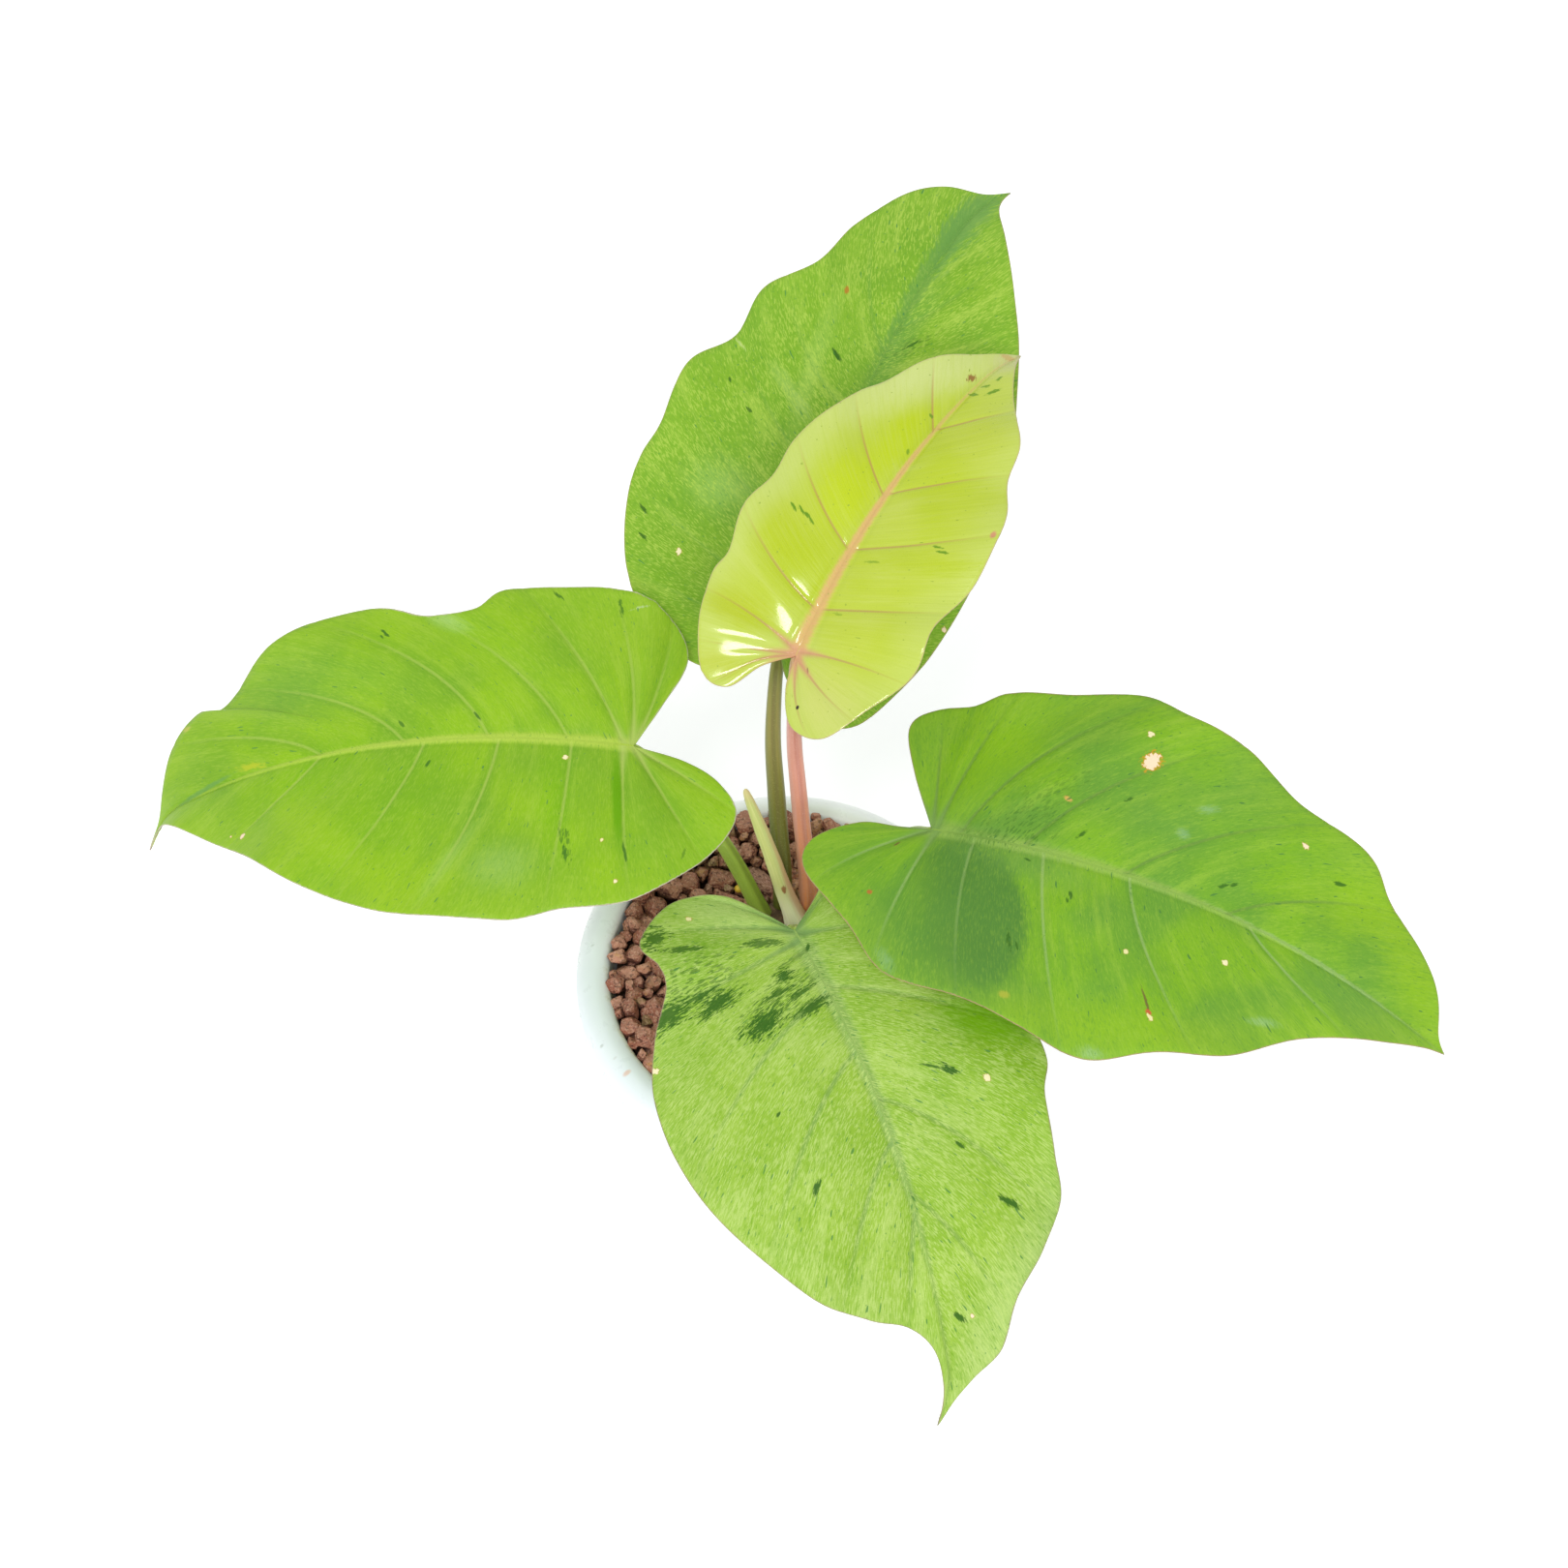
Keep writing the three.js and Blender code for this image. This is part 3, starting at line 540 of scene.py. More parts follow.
def leaf_piece(name, seed, materials):
    """A leaf blade as one closed sheet: its upper side, its underside and its thin margin."""
    leaf = LEAVES[name]
    blade = Blade(leaf)
    halves = {side: Half(leaf, side, blade.tip_x) for side in ("left", "right")}
    roots = merged_roots(halves, blade.tip_x)
    columns = np.linspace(0, 1, COLUMNS + 1) ** COLUMN_POWER

    # Points on the midrib: their flat place, their place in the flow of the marks, and the
    # distance to a vein, the share along it and the distance to the margin
    midrib = [0.0, *roots, blade.tip_x]
    flat = [(x, 0.0) for x in midrib]
    flow = [(x, 0.0, 0.0) for x in midrib]
    veins = [(FAR_AWAY, 0.0, FAR_AWAY) for _ in midrib[1:]] + [(FAR_AWAY, 1.0, 0.0)]
    lifts = [0.0 for _ in midrib]
    tip = len(midrib) - 1

    # Rows run out from the seat or the midrib to the margin. Where two corners are one point,
    # the face is a triangle.
    faces = []
    edge = {}
    for side, half in halves.items():
        fan = fan_rows(half)
        rows = np.concatenate([fan, half.share_of_root(roots), [1.0]])
        w, r = np.meshgrid(rows, columns, indexing="ij")
        x, y, chord = half.pattern(w, r)
        lift, nearest, share, inwards = half_relief(leaf, half, w, r, x, y)
        around = (half.length * w + FLOW_START) * (1 if side == "left" else -1)
        index = np.zeros(w.shape, int)
        for i in range(len(rows)):
            for j in range(len(columns)):
                if j == 0 and i < len(fan):
                    index[i, j] = 0
                elif i == len(rows) - 1:
                    index[i, j] = tip
                elif j == 0:
                    index[i, j] = 1 + i - len(fan)
                else:
                    index[i, j] = len(flat)
                    flat.append((x[i, j], y[i, j]))
                    flow.append((around[i, j], r[i, j] * chord[i, j], seed))
                    veins.append((nearest[i, j], share[i, j], inwards[i, j]))
                    lifts.append(lift[i, j])
        for i in range(len(rows) - 1):
            for j in range(len(columns) - 1):
                loop = [index[i, j], index[i + 1, j], index[i + 1, j + 1], index[i, j + 1]]
                face = [corner for place, corner in enumerate(loop) if corner != loop[place - 1]]
                if len(set(face)) >= 3:
                    faces.append(face if side == "left" else face[::-1])
        edge[side] = list(index[0, 1:]) + list(index[1:-1, -1])

    # Relief of the upper side
    x, y = np.array(flat).T
    to_vein, along_vein, inwards = np.array(veins).T
    tipwards = clamp01(x / blade.tip_x)
    band = leaf["band"] * mix(0.1, 1.0, (1 - tipwards) ** 1.5)
    from_rib = np.hypot(y, np.minimum(x, 0))
    raised = RIB_RISE * np.exp(-(from_rib / band) ** 4)
    raised -= BAND_GROOVE * np.exp(-((from_rib - band * 1.25) / 0.8) ** 2)
    ripple = RIPPLE * undulation(x, y, seed) * smooth(0, 12, np.abs(y))
    lifts = np.array(lifts) + raised * smooth(0, 6, inwards) * smooth(-3, 4, x) + ripple
    top = blade.point(x, y, lifts)
    from_seat = np.hypot(x, y)
    upright = blade.frame_at(x, blade.normal)
    normals = unit(mix(upright, surface_normals(top, faces), smooth(1.5, 10, from_seat)[:, None]))

    # Thickness down to the underside, with its midrib and veins
    rib_height = mix(RIB_BASE, RIB_TIP, tipwards) * np.exp(-(from_rib / (band * 0.85)) ** 2.6)
    support = smooth(0, 3, inwards + 3 * (1 - smooth(0.4 * band, 1.1 * band, from_rib)))
    vein_height = UNDER_VEIN * np.exp(-(to_vein / UNDER_VEIN_WIDTH) ** 2) * (1 - 0.8 * along_vein)
    thickness = mix(MARGIN_THICKNESS, BLADE_THICKNESS, smooth(0, 5, inwards))
    thickness += rib_height * support + vein_height * smooth(0, 3, inwards)
    under = top - normals * thickness[:, None]

    # Round margin between the two sides
    loop = [0] + edge["left"] + [tip] + edge["right"][::-1]
    ring = top[loop]
    tangent = unit(np.roll(ring, -1, 0) - np.roll(ring, 1, 0))
    outward = unit(np.cross(normals[loop], tangent))
    outward[0] = -blade.along[0]
    outward[len(edge["left"]) + 1] = blade.along[-1]
    middle = ring - normals[loop] * thickness[loop][:, None] / 2 + outward * MARGIN_BULGE

    count = len(top)
    points = np.vstack([top, under, middle])
    all_faces = list(faces) + [[corner + count for corner in face[::-1]] for face in faces]
    slots = [0] * len(faces) + [1] * len(faces)
    for place in range(len(loop)):
        following = (place + 1) % len(loop)
        a, b = loop[place], loop[following]
        c, d = 2 * count + place, 2 * count + following
        all_faces += [[b, a, c, d], [d, c, a + count, b + count]]
        slots += [2, 2]
    carried = {
        "pattern": np.column_stack([x, y, from_rib]),
        "flow": np.array(flow),
        "vein": np.array(veins),
        "rib": np.column_stack([band, tipwards, np.sign(y)]),
    }
    attributes = {key: np.vstack([values, values, values[loop]]) for key, values in carried.items()}
    piece = closed_piece(f"leaf_{name}", points, all_faces, materials, attributes, slots)
    settle(piece, f"blade_{name}", f"blade_{name}")


# Materials

class Look:
    """One procedural material. Each method adds a node and returns what comes out of it."""

    def __init__(self, name):
        self.material = bpy.data.materials.new(name)
        self.material.use_nodes = True
        self.tree = self.material.node_tree
        self.shader = self.tree.nodes["Principled BSDF"]

    def feed(self, socket, value):
        if isinstance(value, bpy.types.NodeSocket):
            self.tree.links.new(value, socket)
        elif isinstance(value, (tuple, list)) and socket.type == "RGBA":
            socket.default_value = (*value, 1.0)
        else:
            socket.default_value = value

    def node(self, kind, inputs=None, **settings):
        made = self.tree.nodes.new(kind)
        for key, value in settings.items():
            setattr(made, key, value)
        for key, value in (inputs or {}).items():
            self.feed(made.inputs[key], value)
        return made

    def attribute(self, name):
        return self.node("ShaderNodeAttribute", attribute_name=name).outputs["Vector"]

    def parts(self, vector):
        return list(self.node("ShaderNodeSeparateXYZ", {0: vector}).outputs)

    def place(self):
        return self.node("ShaderNodeTexCoord").outputs["Object"]

    def length(self, vector):
        return self.node("ShaderNodeVectorMath", {0: vector}, operation="LENGTH").outputs["Value"]

    def along(self, vector, direction):
        return self.node("ShaderNodeVectorMath", {0: vector, 1: direction},
                         operation="DOT_PRODUCT").outputs["Value"]

    def flat(self, x, y):
        return self.node("ShaderNodeCombineXYZ", {0: x, 1: y}).outputs[0]

    def math(self, operation, a, b=0.0):
        return self.node("ShaderNodeMath", {0: a, 1: b}, operation=operation).outputs[0]

    def times(self, a, b):
        return self.math("MULTIPLY", a, b)

    def plus(self, a, b):
        return self.math("ADD", a, b)

    def centred(self, value):
        return self.math("SUBTRACT", value, 0.5)

    def step(self, value, low, high, start=0.0, end=1.0):
        return self.node("ShaderNodeMapRange", {0: value, 1: low, 2: high, 3: start, 4: end},
                         interpolation_type="SMOOTHSTEP").outputs[0]

    def fall(self, value, low, high):
        return self.step(value, low, high, 1.0, 0.0)

    def blend(self, share, a, b):
        return self.node("ShaderNodeMix", {0: share, 6: a, 7: b}, data_type="RGBA").outputs[2]

    def wash(self, a, b, value, low, high, end=1.0, start=0.0):
        """Colour a, which turns into colour b as the value runs from low to high."""
        return self.blend(self.step(value, low, high, start, end), a, b)

    def scaled(self, vector, scale):
        return self.node("ShaderNodeVectorMath", {0: vector, 1: scale}, operation="MULTIPLY").outputs[0]

    def noise(self, vector, scale, detail=2.0, roughness=0.5):
        """Noise with one scale, or with one for each axis."""
        if isinstance(scale, tuple):
            vector, scale = self.scaled(vector, scale), 1.0
        return self.node("ShaderNodeTexNoise", {"Vector": vector, "Scale": scale, "Detail": detail,
                                                "Roughness": roughness}).outputs[0]

    def blot(self, vector, place, size, angle=0.0, edge=None, soft=0.15):
        """A share that is 1 inside an ellipse on the flat pattern and 0 outside it."""
        local = self.node("ShaderNodeMapping", {
            "Vector": vector, "Location": (place[0], place[1], 0.0),
            "Rotation": (0.0, 0.0, math.radians(angle)), "Scale": (size[0], size[1], 1.0),
        }, vector_type="TEXTURE").outputs[0]
        reach = self.length(local)
        if edge is not None:
            reach = self.plus(reach, edge)
        return self.fall(reach, 1 - soft, 1 + soft)

    def bump(self, height, distance, strength=1.0, normal=None):
        inputs = {"Height": height, "Distance": distance, "Strength": strength}
        if normal is not None:
            inputs["Normal"] = normal
        return self.node("ShaderNodeBump", inputs).outputs[0]

    def finish(self, colour, roughness, specular=0.5, normal=None):
        self.feed(self.shader.inputs["Base Color"], colour)
        self.feed(self.shader.inputs["Roughness"], roughness)
        self.shader.inputs["Specular IOR Level"].default_value = specular
        if normal is not None:
            self.feed(self.shader.inputs["Normal"], normal)
        return self.material


# Leaf paint, in the flat pattern's millimetres and degrees. Colours are linear. deep and main mix
# in soft areas, and edge comes in towards the margin. pale and dark are the short marks along the
# veins: (how fine across, how fine along, where they start, where they are full, strength).
# streak is the strength of the broad streaks, and valley_shade that of the darker strips beside
# the veins, painted shade that is partly a deeper green of the leaf. speck is the level from which
# random specks show. veins are the colours on the left and on the right half. vein_width is how far
# from the middle of a vein its colour ends, and rib_width is the same for the midrib, in half widths
# of its band. blush lies round the seat.
# blots: (x, y, half length, half width, angle, softness, raggedness, strength, colour), and, for
# one that fades in across the leaf, (angle, where it starts, where it is full). The colour
# "fleck" is the leaf's own dark green.
# flecks: dark green (x, y, half length, half width, angle, raggedness, strength)
# scars: (x, y, half length, half width, angle)
PAINT = {
    "left": {
        "deep": (0.172, 0.358, 0.016), "main": (0.24, 0.443, 0.01), "edge": (0.254, 0.45, 0.017),
        "pale": (1.2, 0.3, 0.46, 0.68, 0.4), "pale_colour": (0.33, 0.5, 0.05),
        "dark": (1.3, 0.4, 0.5, 0.3, 0.35), "dark_colour": (0.125, 0.3, 0.017), "streak": 0.4,
        "valley_shade": 0.4, "speck": 0.73, "speck_colour": (0.085, 0.23, 0.045),
        "veins": ((0.361, 0.474, 0.093), (0.344, 0.474, 0.085)), "vein_share": 0.62, "vein_width": 0.9,
        "rib": (0.43, 0.56, 0.075), "rib_share": 0.8, "rib_width": 1.35, "blush": (0.369, 0.49, 0.102),
        "margin": (0.59, 0.474, 0.425), "under": (0.271, 0.411, 0.119), "roughness": 0.4,
        "fleck": (0.04, 0.14, 0.012),
        "blots": [
            (139, -30, 27, 13, -16, 0.9, 0.4, 0.48, (0.16, 0.35, 0.045)),
            (103, -30, 18, 7, -22, 0.9, 0.4, 0.4, (0.15, 0.34, 0.03)),
            (129, 11, 22, 11, 17, 0.9, 0.4, 0.6, (0.2, 0.43, 0.0)),
            (92, 30, 34, 15, 50, 0.9, 0.3, 0.6, (0.17, 0.38, 0.005)),
            (111, 44, 42, 7, -40, 0.9, 0.5, 0.5, (0.29, 0.49, 0.01)),
            (28, 25, 19, 6, -85, 0.8, 0.4, 0.5, (0.2, 0.44, 0.0)),
            (-21, 39, 15, 13, -44, 0.9, 0.4, 0.45, (0.21, 0.42, 0.02)),
            (6, -45, 12, 12, 32, 0.9, 0.4, 0.4, (0.3, 0.48, 0.02)),
            # Painted sheen: the next three pale blots
            (45, 55, 10, 7, 13, 0.95, 0.4, 0.26, (0.42, 0.6, 0.2)),
            (65, 52, 14, 2.6, 58, 0.95, 0.5, 0.22, (0.42, 0.6, 0.2)),
            (73, -48, 7, 2.4, -25, 0.95, 0.4, 0.35, (0.42, 0.6, 0.28)),
            (4, 24, 18, 1.8, -83, 0.55, 0.3, 0.9, (0.12, 0.33, 0.0)),
            (185, -1, 17, 0.8, 5, 0.5, 0.5, 0.6, (0.12, 0.29, 0.08)),
            (22, 43, 7.5, 1.5, -77, 0.4, 1.7, 0.65, "fleck"),
            (21.4, 48, 3, 0.7, -77, 0.4, 0.9, 0.8, "fleck"),
            (-22.8, 43.2, 2.4, 0.5, 77, 0.4, 0.5, 0.5, "fleck"),
            (10.2, -55.4, 3.8, 0.5, -74, 0.4, 1.2, 0.75, "fleck"),
            (157.5, -3.2, 5.8, 1.0, -6, 0.5, 1.2, 0.7, (0.45, 0.49, 0.025)),
            (3.6, -55.4, 2.6, 0.4, 20, 0.4, 1.4, 0.5, (0.5, 0.6, 0.35)),
            (190, -29.4, 2.0, 1.1, 0, 0.5, 0.3, 0.8, (0.49, 0.49, 0.085)),
        ],
        "flecks": [
            (-1.1, 46, 4, 0.6, -75, 0.5, 0.85), (98.6, -47.4, 1.3, 0.5, -38, 0.6, 0.9),
            (97.2, -45.6, 1.4, 0.6, -43, 0.6, 0.9), (99, -45, 1.0, 0.4, -50, 0.6, 0.8),
            (77.7, 10.5, 1.6, 0.7, 63, 0.5, 0.85), (60.1, -9.1, 2.2, 0.5, -52, 0.6, 0.85),
            (89.7, -7.6, 1.9, 0.6, -47, 0.6, 0.75), (33.2, -59.6, 2.4, 0.5, -37, 1.2, 0.8),
            (116.7, 3.6, 1.3, 0.4, 48, 0.5, 0.7),
        ],
        "scars": [
            (25, 7.8, 0.95, 0.85, 0), (158.9, 26.7, 1.25, 1.0, 20), (8, 41.9, 0.75, 0.45, 70),
            (1.2, 58, 0.7, 0.65, 0), (165.6, 24.9, 0.4, 0.35, 0),
        ],
    },
    "right": {
        "deep": (0.131, 0.312, 0.03), "main": (0.193, 0.404, 0.014), "edge": (0.236, 0.434, 0.024),
        "pale": (1.2, 0.3, 0.48, 0.7, 0.36), "pale_colour": (0.297, 0.484, 0.045),
        "dark": (1.3, 0.4, 0.5, 0.3, 0.45), "dark_colour": (0.095, 0.258, 0.026), "streak": 0.5,
        "valley_shade": 0.3, "speck": 0.725, "speck_colour": (0.066, 0.195, 0.04),
        "veins": ((0.138, 0.247, 0.045), (0.283, 0.425, 0.136)), "vein_share": 0.7, "vein_width": 0.9,
        "rib": (0.329, 0.464, 0.11), "rib_share": 0.55, "rib_width": 1.7,
        "blush": (0.179, 0.319, 0.072), "margin": (0.425, 0.266, 0.16), "under": (0.264, 0.408, 0.112),
        "roughness": 0.42, "fleck": (0.036, 0.124, 0.01),
        "blots": [
            (14.7, -47.3, 30, 24, -40, 0.95, 0.3, 0.75, (0.09, 0.227, 0.033)),
            (20.5, -33, 33, 22, -66, 0.16, 0.12, 0.92, (0.074, 0.201, 0.032), (30, -22, 4)),
            (30, -5, 30, 7, -8, 0.9, 0.4, 0.6, (0.142, 0.301, 0.056)),
            (17, 33, 27, 12, 56, 0.9, 0.6, 0.6, (0.223, 0.433, 0.0)),
            (93, 38, 32, 15, 31, 0.9, 0.5, 0.3, (0.148, 0.33, 0.05)),
            (47, 24, 30, 4, 44, 0.9, 0.5, 0.5, (0.127, 0.299, 0.03)),
            (84, -62, 33, 8, 12, 0.9, 0.5, 0.5, (0.254, 0.453, 0.01)),
            (169, -7, 21, 9, 17, 0.9, 0.4, 0.5, (0.138, 0.319, 0.05)),
            (160, 28, 22, 11, 21, 0.9, 0.6, 0.5, (0.265, 0.464, 0.01)),
            (192, 14, 20, 8, -40, 0.8, 0.9, 0.5, (0.254, 0.452, 0.012)),
            (81.4, -75.1, 4, 2, 7, 0.95, 0.8, 0.22, (0.445, 0.618, 0.5)),
            (-6, -59, 4.4, 2, -50, 0.95, 0.8, 0.25, (0.318, 0.515, 0.35)),
            (142, -34.6, 5, 1.4, 20, 0.95, 0.8, 0.22, (0.445, 0.618, 0.5)),
            (96, 36, 3, 1.4, 30, 0.95, 0.8, 0.22, (0.445, 0.618, 0.5)),
            (90, 23, 2, 1.6, 0, 0.95, 0.8, 0.22, (0.445, 0.618, 0.5)),
            (158, 0, 40, 0.9, -1, 0.6, 0.6, 0.55, (0.318, 0.494, 0.2)),
            (21, -37, 27, 17, -66, 0.5, 0.2, 0.45, (0.09, 0.22, 0.034)),
            (28, 4, 13, 4.5, 19, 0.5, 1.7, 0.55, "fleck"),
            (26, 6, 17, 5, 24, 0.55, 0.9, 0.5, (0.106, 0.258, 0.03)),
            (39, 20, 15, 5, 47, 0.55, 1.8, 0.32, "fleck"),
            (46.7, 22.5, 1.6, 0.8, -15, 0.4, 0.5, 0.9, (0.636, 0.371, 0.09)),
            (-11.6, -9.4, 1.5, 0.5, 49, 0.3, 0.6, 0.85, (0.17, 0.113, 0.03)),
            (42.4, -64.5, 2.0, 1.4, 0, 0.5, 0.3, 0.6, (0.472, 0.443, 0.048)),
            (-17.2, -32.8, 1.0, 0.9, 0, 0.4, 0.3, 0.9, (0.424, 0.144, 0.03)),
            (95.4, -49, 4.8, 0.5, -55, 0.4, 0.9, 0.85, (0.148, 0.103, 0.03)),
            (97.6, -52.8, 1.2, 0.9, -24, 0.4, 0.4, 0.9, (0.53, 0.103, 0.04)),
        ],
        "flecks": [
            (149.9, 31.7, 2.4, 0.8, 17, 0.5, 0.9), (113.7, 11.8, 1.6, 0.6, 36, 0.8, 0.85),
            (110.4, 9.8, 1.8, 0.6, 36, 0.9, 0.85), (55, 10.2, 2.3, 0.6, 53, 0.9, 0.85),
            (57, -16, 1.6, 0.7, -67, 0.7, 0.85), (56.3, -18.8, 1.2, 0.5, -67, 0.7, 0.8),
            (37.9, -5.5, 1.3, 0.5, -14, 0.6, 0.8), (67.8, 29, 1.8, 0.5, 50, 0.8, 0.75),
            (38.9, -42.5, 3.4, 0.7, -69, 1.2, 0.8), (42.2, -43.2, 1.8, 0.5, -65, 0.8, 0.75),
        ],
        "scars": [
            (68.7, 56.3, 1.2, 0.95, 0), (132.4, 37.7, 1.25, 0.9, -20), (82.7, -32.3, 0.9, 0.85, 0),
            (120.2, -19.7, 1.15, 1.0, 0), (71.7, 46.5, 3.3, 2.3, 62), (98.8, -54.6, 1.5, 0.8, -40),
        ],
    },
    "front": {
        "deep": (0.229, 0.403, 0.031), "main": (0.284, 0.458, 0.047), "edge": (0.3, 0.474, 0.07),
        "pale": (1.5, 0.3, 0.46, 0.62, 0.68), "pale_colour": (0.46, 0.6, 0.17),
        "dark": (1.5, 0.32, 0.48, 0.33, 0.6), "dark_colour": (0.14, 0.31, 0.012), "streak": 0.5,
        "valley_shade": 0.1, "speck": 0.705, "speck_colour": (0.079, 0.221, 0.047),
        "veins": ((0.2, 0.33, 0.07), (0.19, 0.32, 0.08)), "vein_share": 0.7, "vein_width": 1.5,
        "rib": (0.23, 0.36, 0.12), "rib_share": 0.6, "rib_width": 2.2, "blush": (0.158, 0.284, 0.078),
        "margin": (0.332, 0.221, 0.156), "under": (0.316, 0.442, 0.172), "roughness": 0.42,
        "fleck": (0.03, 0.11, 0.008),
        "blots": [
            (24, 47, 36, 13, 16, 0.7, 0.7, 0.9, (0.134, 0.308, 0.002)),
            (75, 52, 32, 10, -12, 0.8, 0.8, 0.6, (0.19, 0.371, 0.008)),
            (-6, -36, 16, 10, -80, 0.8, 0.9, 0.4, (0.19, 0.363, 0.039)),
            (150, 38, 40, 12, -40, 0.9, 0.5, 0.4, (0.395, 0.521, 0.218)),
            (-17, -20, 17, 8, 51, 0.9, 0.5, 0.5, (0.43, 0.57, 0.2)),
            (60, 50, 17, 7, 61, 0.58, 0.4, 0.75, (0.15, 0.36, 0.0)),
            (24, -20, 17, 5.5, -72, 0.5, 1.8, 0.7, "fleck"),
            (5, -44, 14, 9, -80, 0.5, 1.8, 0.6, "fleck"),
            (29.5, -28.5, 8.2, 4.0, -78, 0.2, 1.3, 0.95, "fleck"),
            (14.9, -12.9, 3.6, 2.4, -75, 0.2, 1.2, 0.95, "fleck"),
            (10, -5, 8, 1.0, -80, 0.4, 1.6, 0.45, "fleck"),
        ],
        "flecks": [
            (20.6, -19, 6, 1.4, -84, 1.4, 0.85), (24, -11, 7, 1.2, -78, 1.5, 0.85),
            (30.5, -9.5, 8.0, 2.2, -85, 1.5, 0.9), (0, -14, 7.0, 1.6, 72, 1.4, 0.8),
            (14.5, -41, 8, 3.2, -82, 1.3, 0.95), (8.5, -46, 6, 1.4, -84, 1.3, 0.85),
            (10.3, -59, 7.5, 4.4, -72, 1.3, 0.9), (-19.3, -50.1, 5.4, 3.6, -79, 1.3, 0.85),
            (-10.8, -43.1, 7.5, 1.3, 71, 1.3, 0.8), (71.2, 28.8, 3.4, 1.3, 49, 1.4, 0.95),
            (67.8, 23.2, 4.2, 0.45, 57, 0.6, 0.85), (97.3, 23.3, 2.0, 0.8, 35, 0.6, 0.9),
            (63.9, -37.6, 1.2, 0.6, -55, 0.5, 0.9), (8.5, 1, 1.6, 0.7, -40, 0.6, 0.9),
            (94.9, -33.5, 3.0, 1.1, -38, 0.7, 0.95), (121.5, 34.8, 4.2, 1.3, 50, 0.9, 0.95),
            (157.4, 7, 2.7, 1.0, 40, 0.8, 0.95),
        ],
        "scars": [
            (78.4, 40.7, 1.25, 1.05, 20), (157.9, 11.6, 0.7, 0.6, 0), (-21.2, -34.5, 1.05, 0.75, 60),
            (28.7, -73.6, 2.0, 1.2, 70),
        ],
    },
    "young": {
        "deep": (0.408, 0.51, 0.016), "main": (0.442, 0.531, 0.048), "edge": (0.476, 0.567, 0.12),
        "pale": (0.9, 0.03, 0.45, 0.7, 0.15), "pale_colour": (0.544, 0.599, 0.16),
        "dark": (1.1, 0.04, 0.5, 0.32, 0.2), "dark_colour": (0.357, 0.462, 0.016), "streak": 0.2,
        "valley_shade": 0.0, "speck": 0.765, "speck_colour": (0.212, 0.308, 0.024),
        "veins": ((0.399, 0.219, 0.064), (0.399, 0.235, 0.08)), "vein_share": 0.75, "vein_width": 0.62,
        "rib": (0.62, 0.37, 0.14), "rib_share": 0.95, "rib_width": 1.0, "blush": (0.578, 0.292, 0.16),
        "margin": (0.51, 0.405, 0.2), "under": (0.476, 0.518, 0.2), "roughness": 0.27,
        "fleck": (0.1, 0.24, 0.0),
        "blots": [
            (62, 12, 14, 9, 10, 0.6, 0.4, 0.95, (0.43, 0.54, 0.0)),
            (91, 8, 16, 6, -4, 0.6, 0.4, 0.95, (0.42, 0.53, 0.0)),
            (33, 20, 18, 9, 62, 0.7, 0.4, 0.85, (0.383, 0.486, 0.0)),
            (7, 26, 15, 5, 92, 0.7, 0.4, 0.7, (0.391, 0.47, 0.0)),
            (-14, 22, 12, 5, 100, 0.7, 0.4, 0.5, (0.399, 0.454, 0.008)),
            (50, -28, 20, 4, -72, 0.8, 0.6, 0.7, (0.399, 0.502, 0.008)),
            (82, -26, 18, 7, -72, 0.9, 0.5, 0.6, (0.408, 0.51, 0.008)),
            (108, -14, 16, 6, -50, 0.8, 0.5, 0.5, (0.425, 0.518, 0.016)),
            (-12, -20, 14, 10, -110, 0.9, 0.3, 0.6, (0.544, 0.567, 0.176)),
            (118, 18, 30, 9, -30, 0.9, 0.3, 0.8, (0.544, 0.616, 0.224)),
            (60, 38, 60, 6, -8, 0.9, 0.3, 0.5, (0.493, 0.583, 0.16)),
            (150, -1, 9, 5, 0, 0.8, 0.3, 0.75, (0.51, 0.502, 0.24)),
            (129.5, 3.6, 1.8, 1.3, -22, 0.3, 0.9, 0.95, (0.25, 0.12, 0.02)),
            (149.2, 1.4, 2.8, 1.4, -57, 0.4, 0.6, 0.8, (0.5, 0.36, 0.12)),
            (71.4, -46.6, 1.5, 1.0, 0, 0.4, 0.3, 0.9, (0.527, 0.227, 0.128)),
            (-17.4, -9.9, 0.8, 0.6, 0, 0.3, 0.2, 1.0, (0.025, 0.016, 0.008)),
            (-3.6, -7.2, 1.1, 0.35, 30, 0.3, 0.2, 0.9, (0.1, 0.065, 0.016)),
        ],
        "flecks": [
            (47.7, 26.4, 1.9, 0.55, 59, 0.9, 0.95), (48.2, 23.4, 2.0, 0.6, 64, 0.9, 0.95),
            (47.6, 20.8, 1.6, 0.6, 69, 0.9, 0.95), (46.4, 18.2, 1.6, 0.45, 61, 0.9, 0.9),
            (57.9, -30.6, 2.1, 0.5, -79, 0.9, 0.9), (56.9, -33.6, 2.1, 0.5, -77, 0.9, 0.9),
            (123.9, -1.9, 1.8, 0.75, -75, 0.9, 0.85), (129.7, -3.6, 1.5, 0.7, -41, 0.9, 0.85),
            (128.6, -7.8, 3.0, 0.75, -28, 0.9, 0.9), (135.7, -5.4, 1.6, 0.6, -5, 0.9, 0.85),
            (106.2, 4.8, 0.9, 0.6, 57, 0.5, 0.8), (88.4, 2.8, 1.1, 0.5, 26, 0.5, 0.7),
            (43, -10.7, 2.4, 0.5, -72, 1.2, 0.6), (20, -8, 1.8, 0.6, -78, 1.2, 0.6),
        ],
        "scars": [],
    },
    "back": {
        "deep": (0.166, 0.348, 0.021), "main": (0.198, 0.387, 0.021), "edge": (0.213, 0.411, 0.028),
        "pale": (1.5, 0.36, 0.49, 0.62, 0.64), "pale_colour": (0.4, 0.56, 0.08),
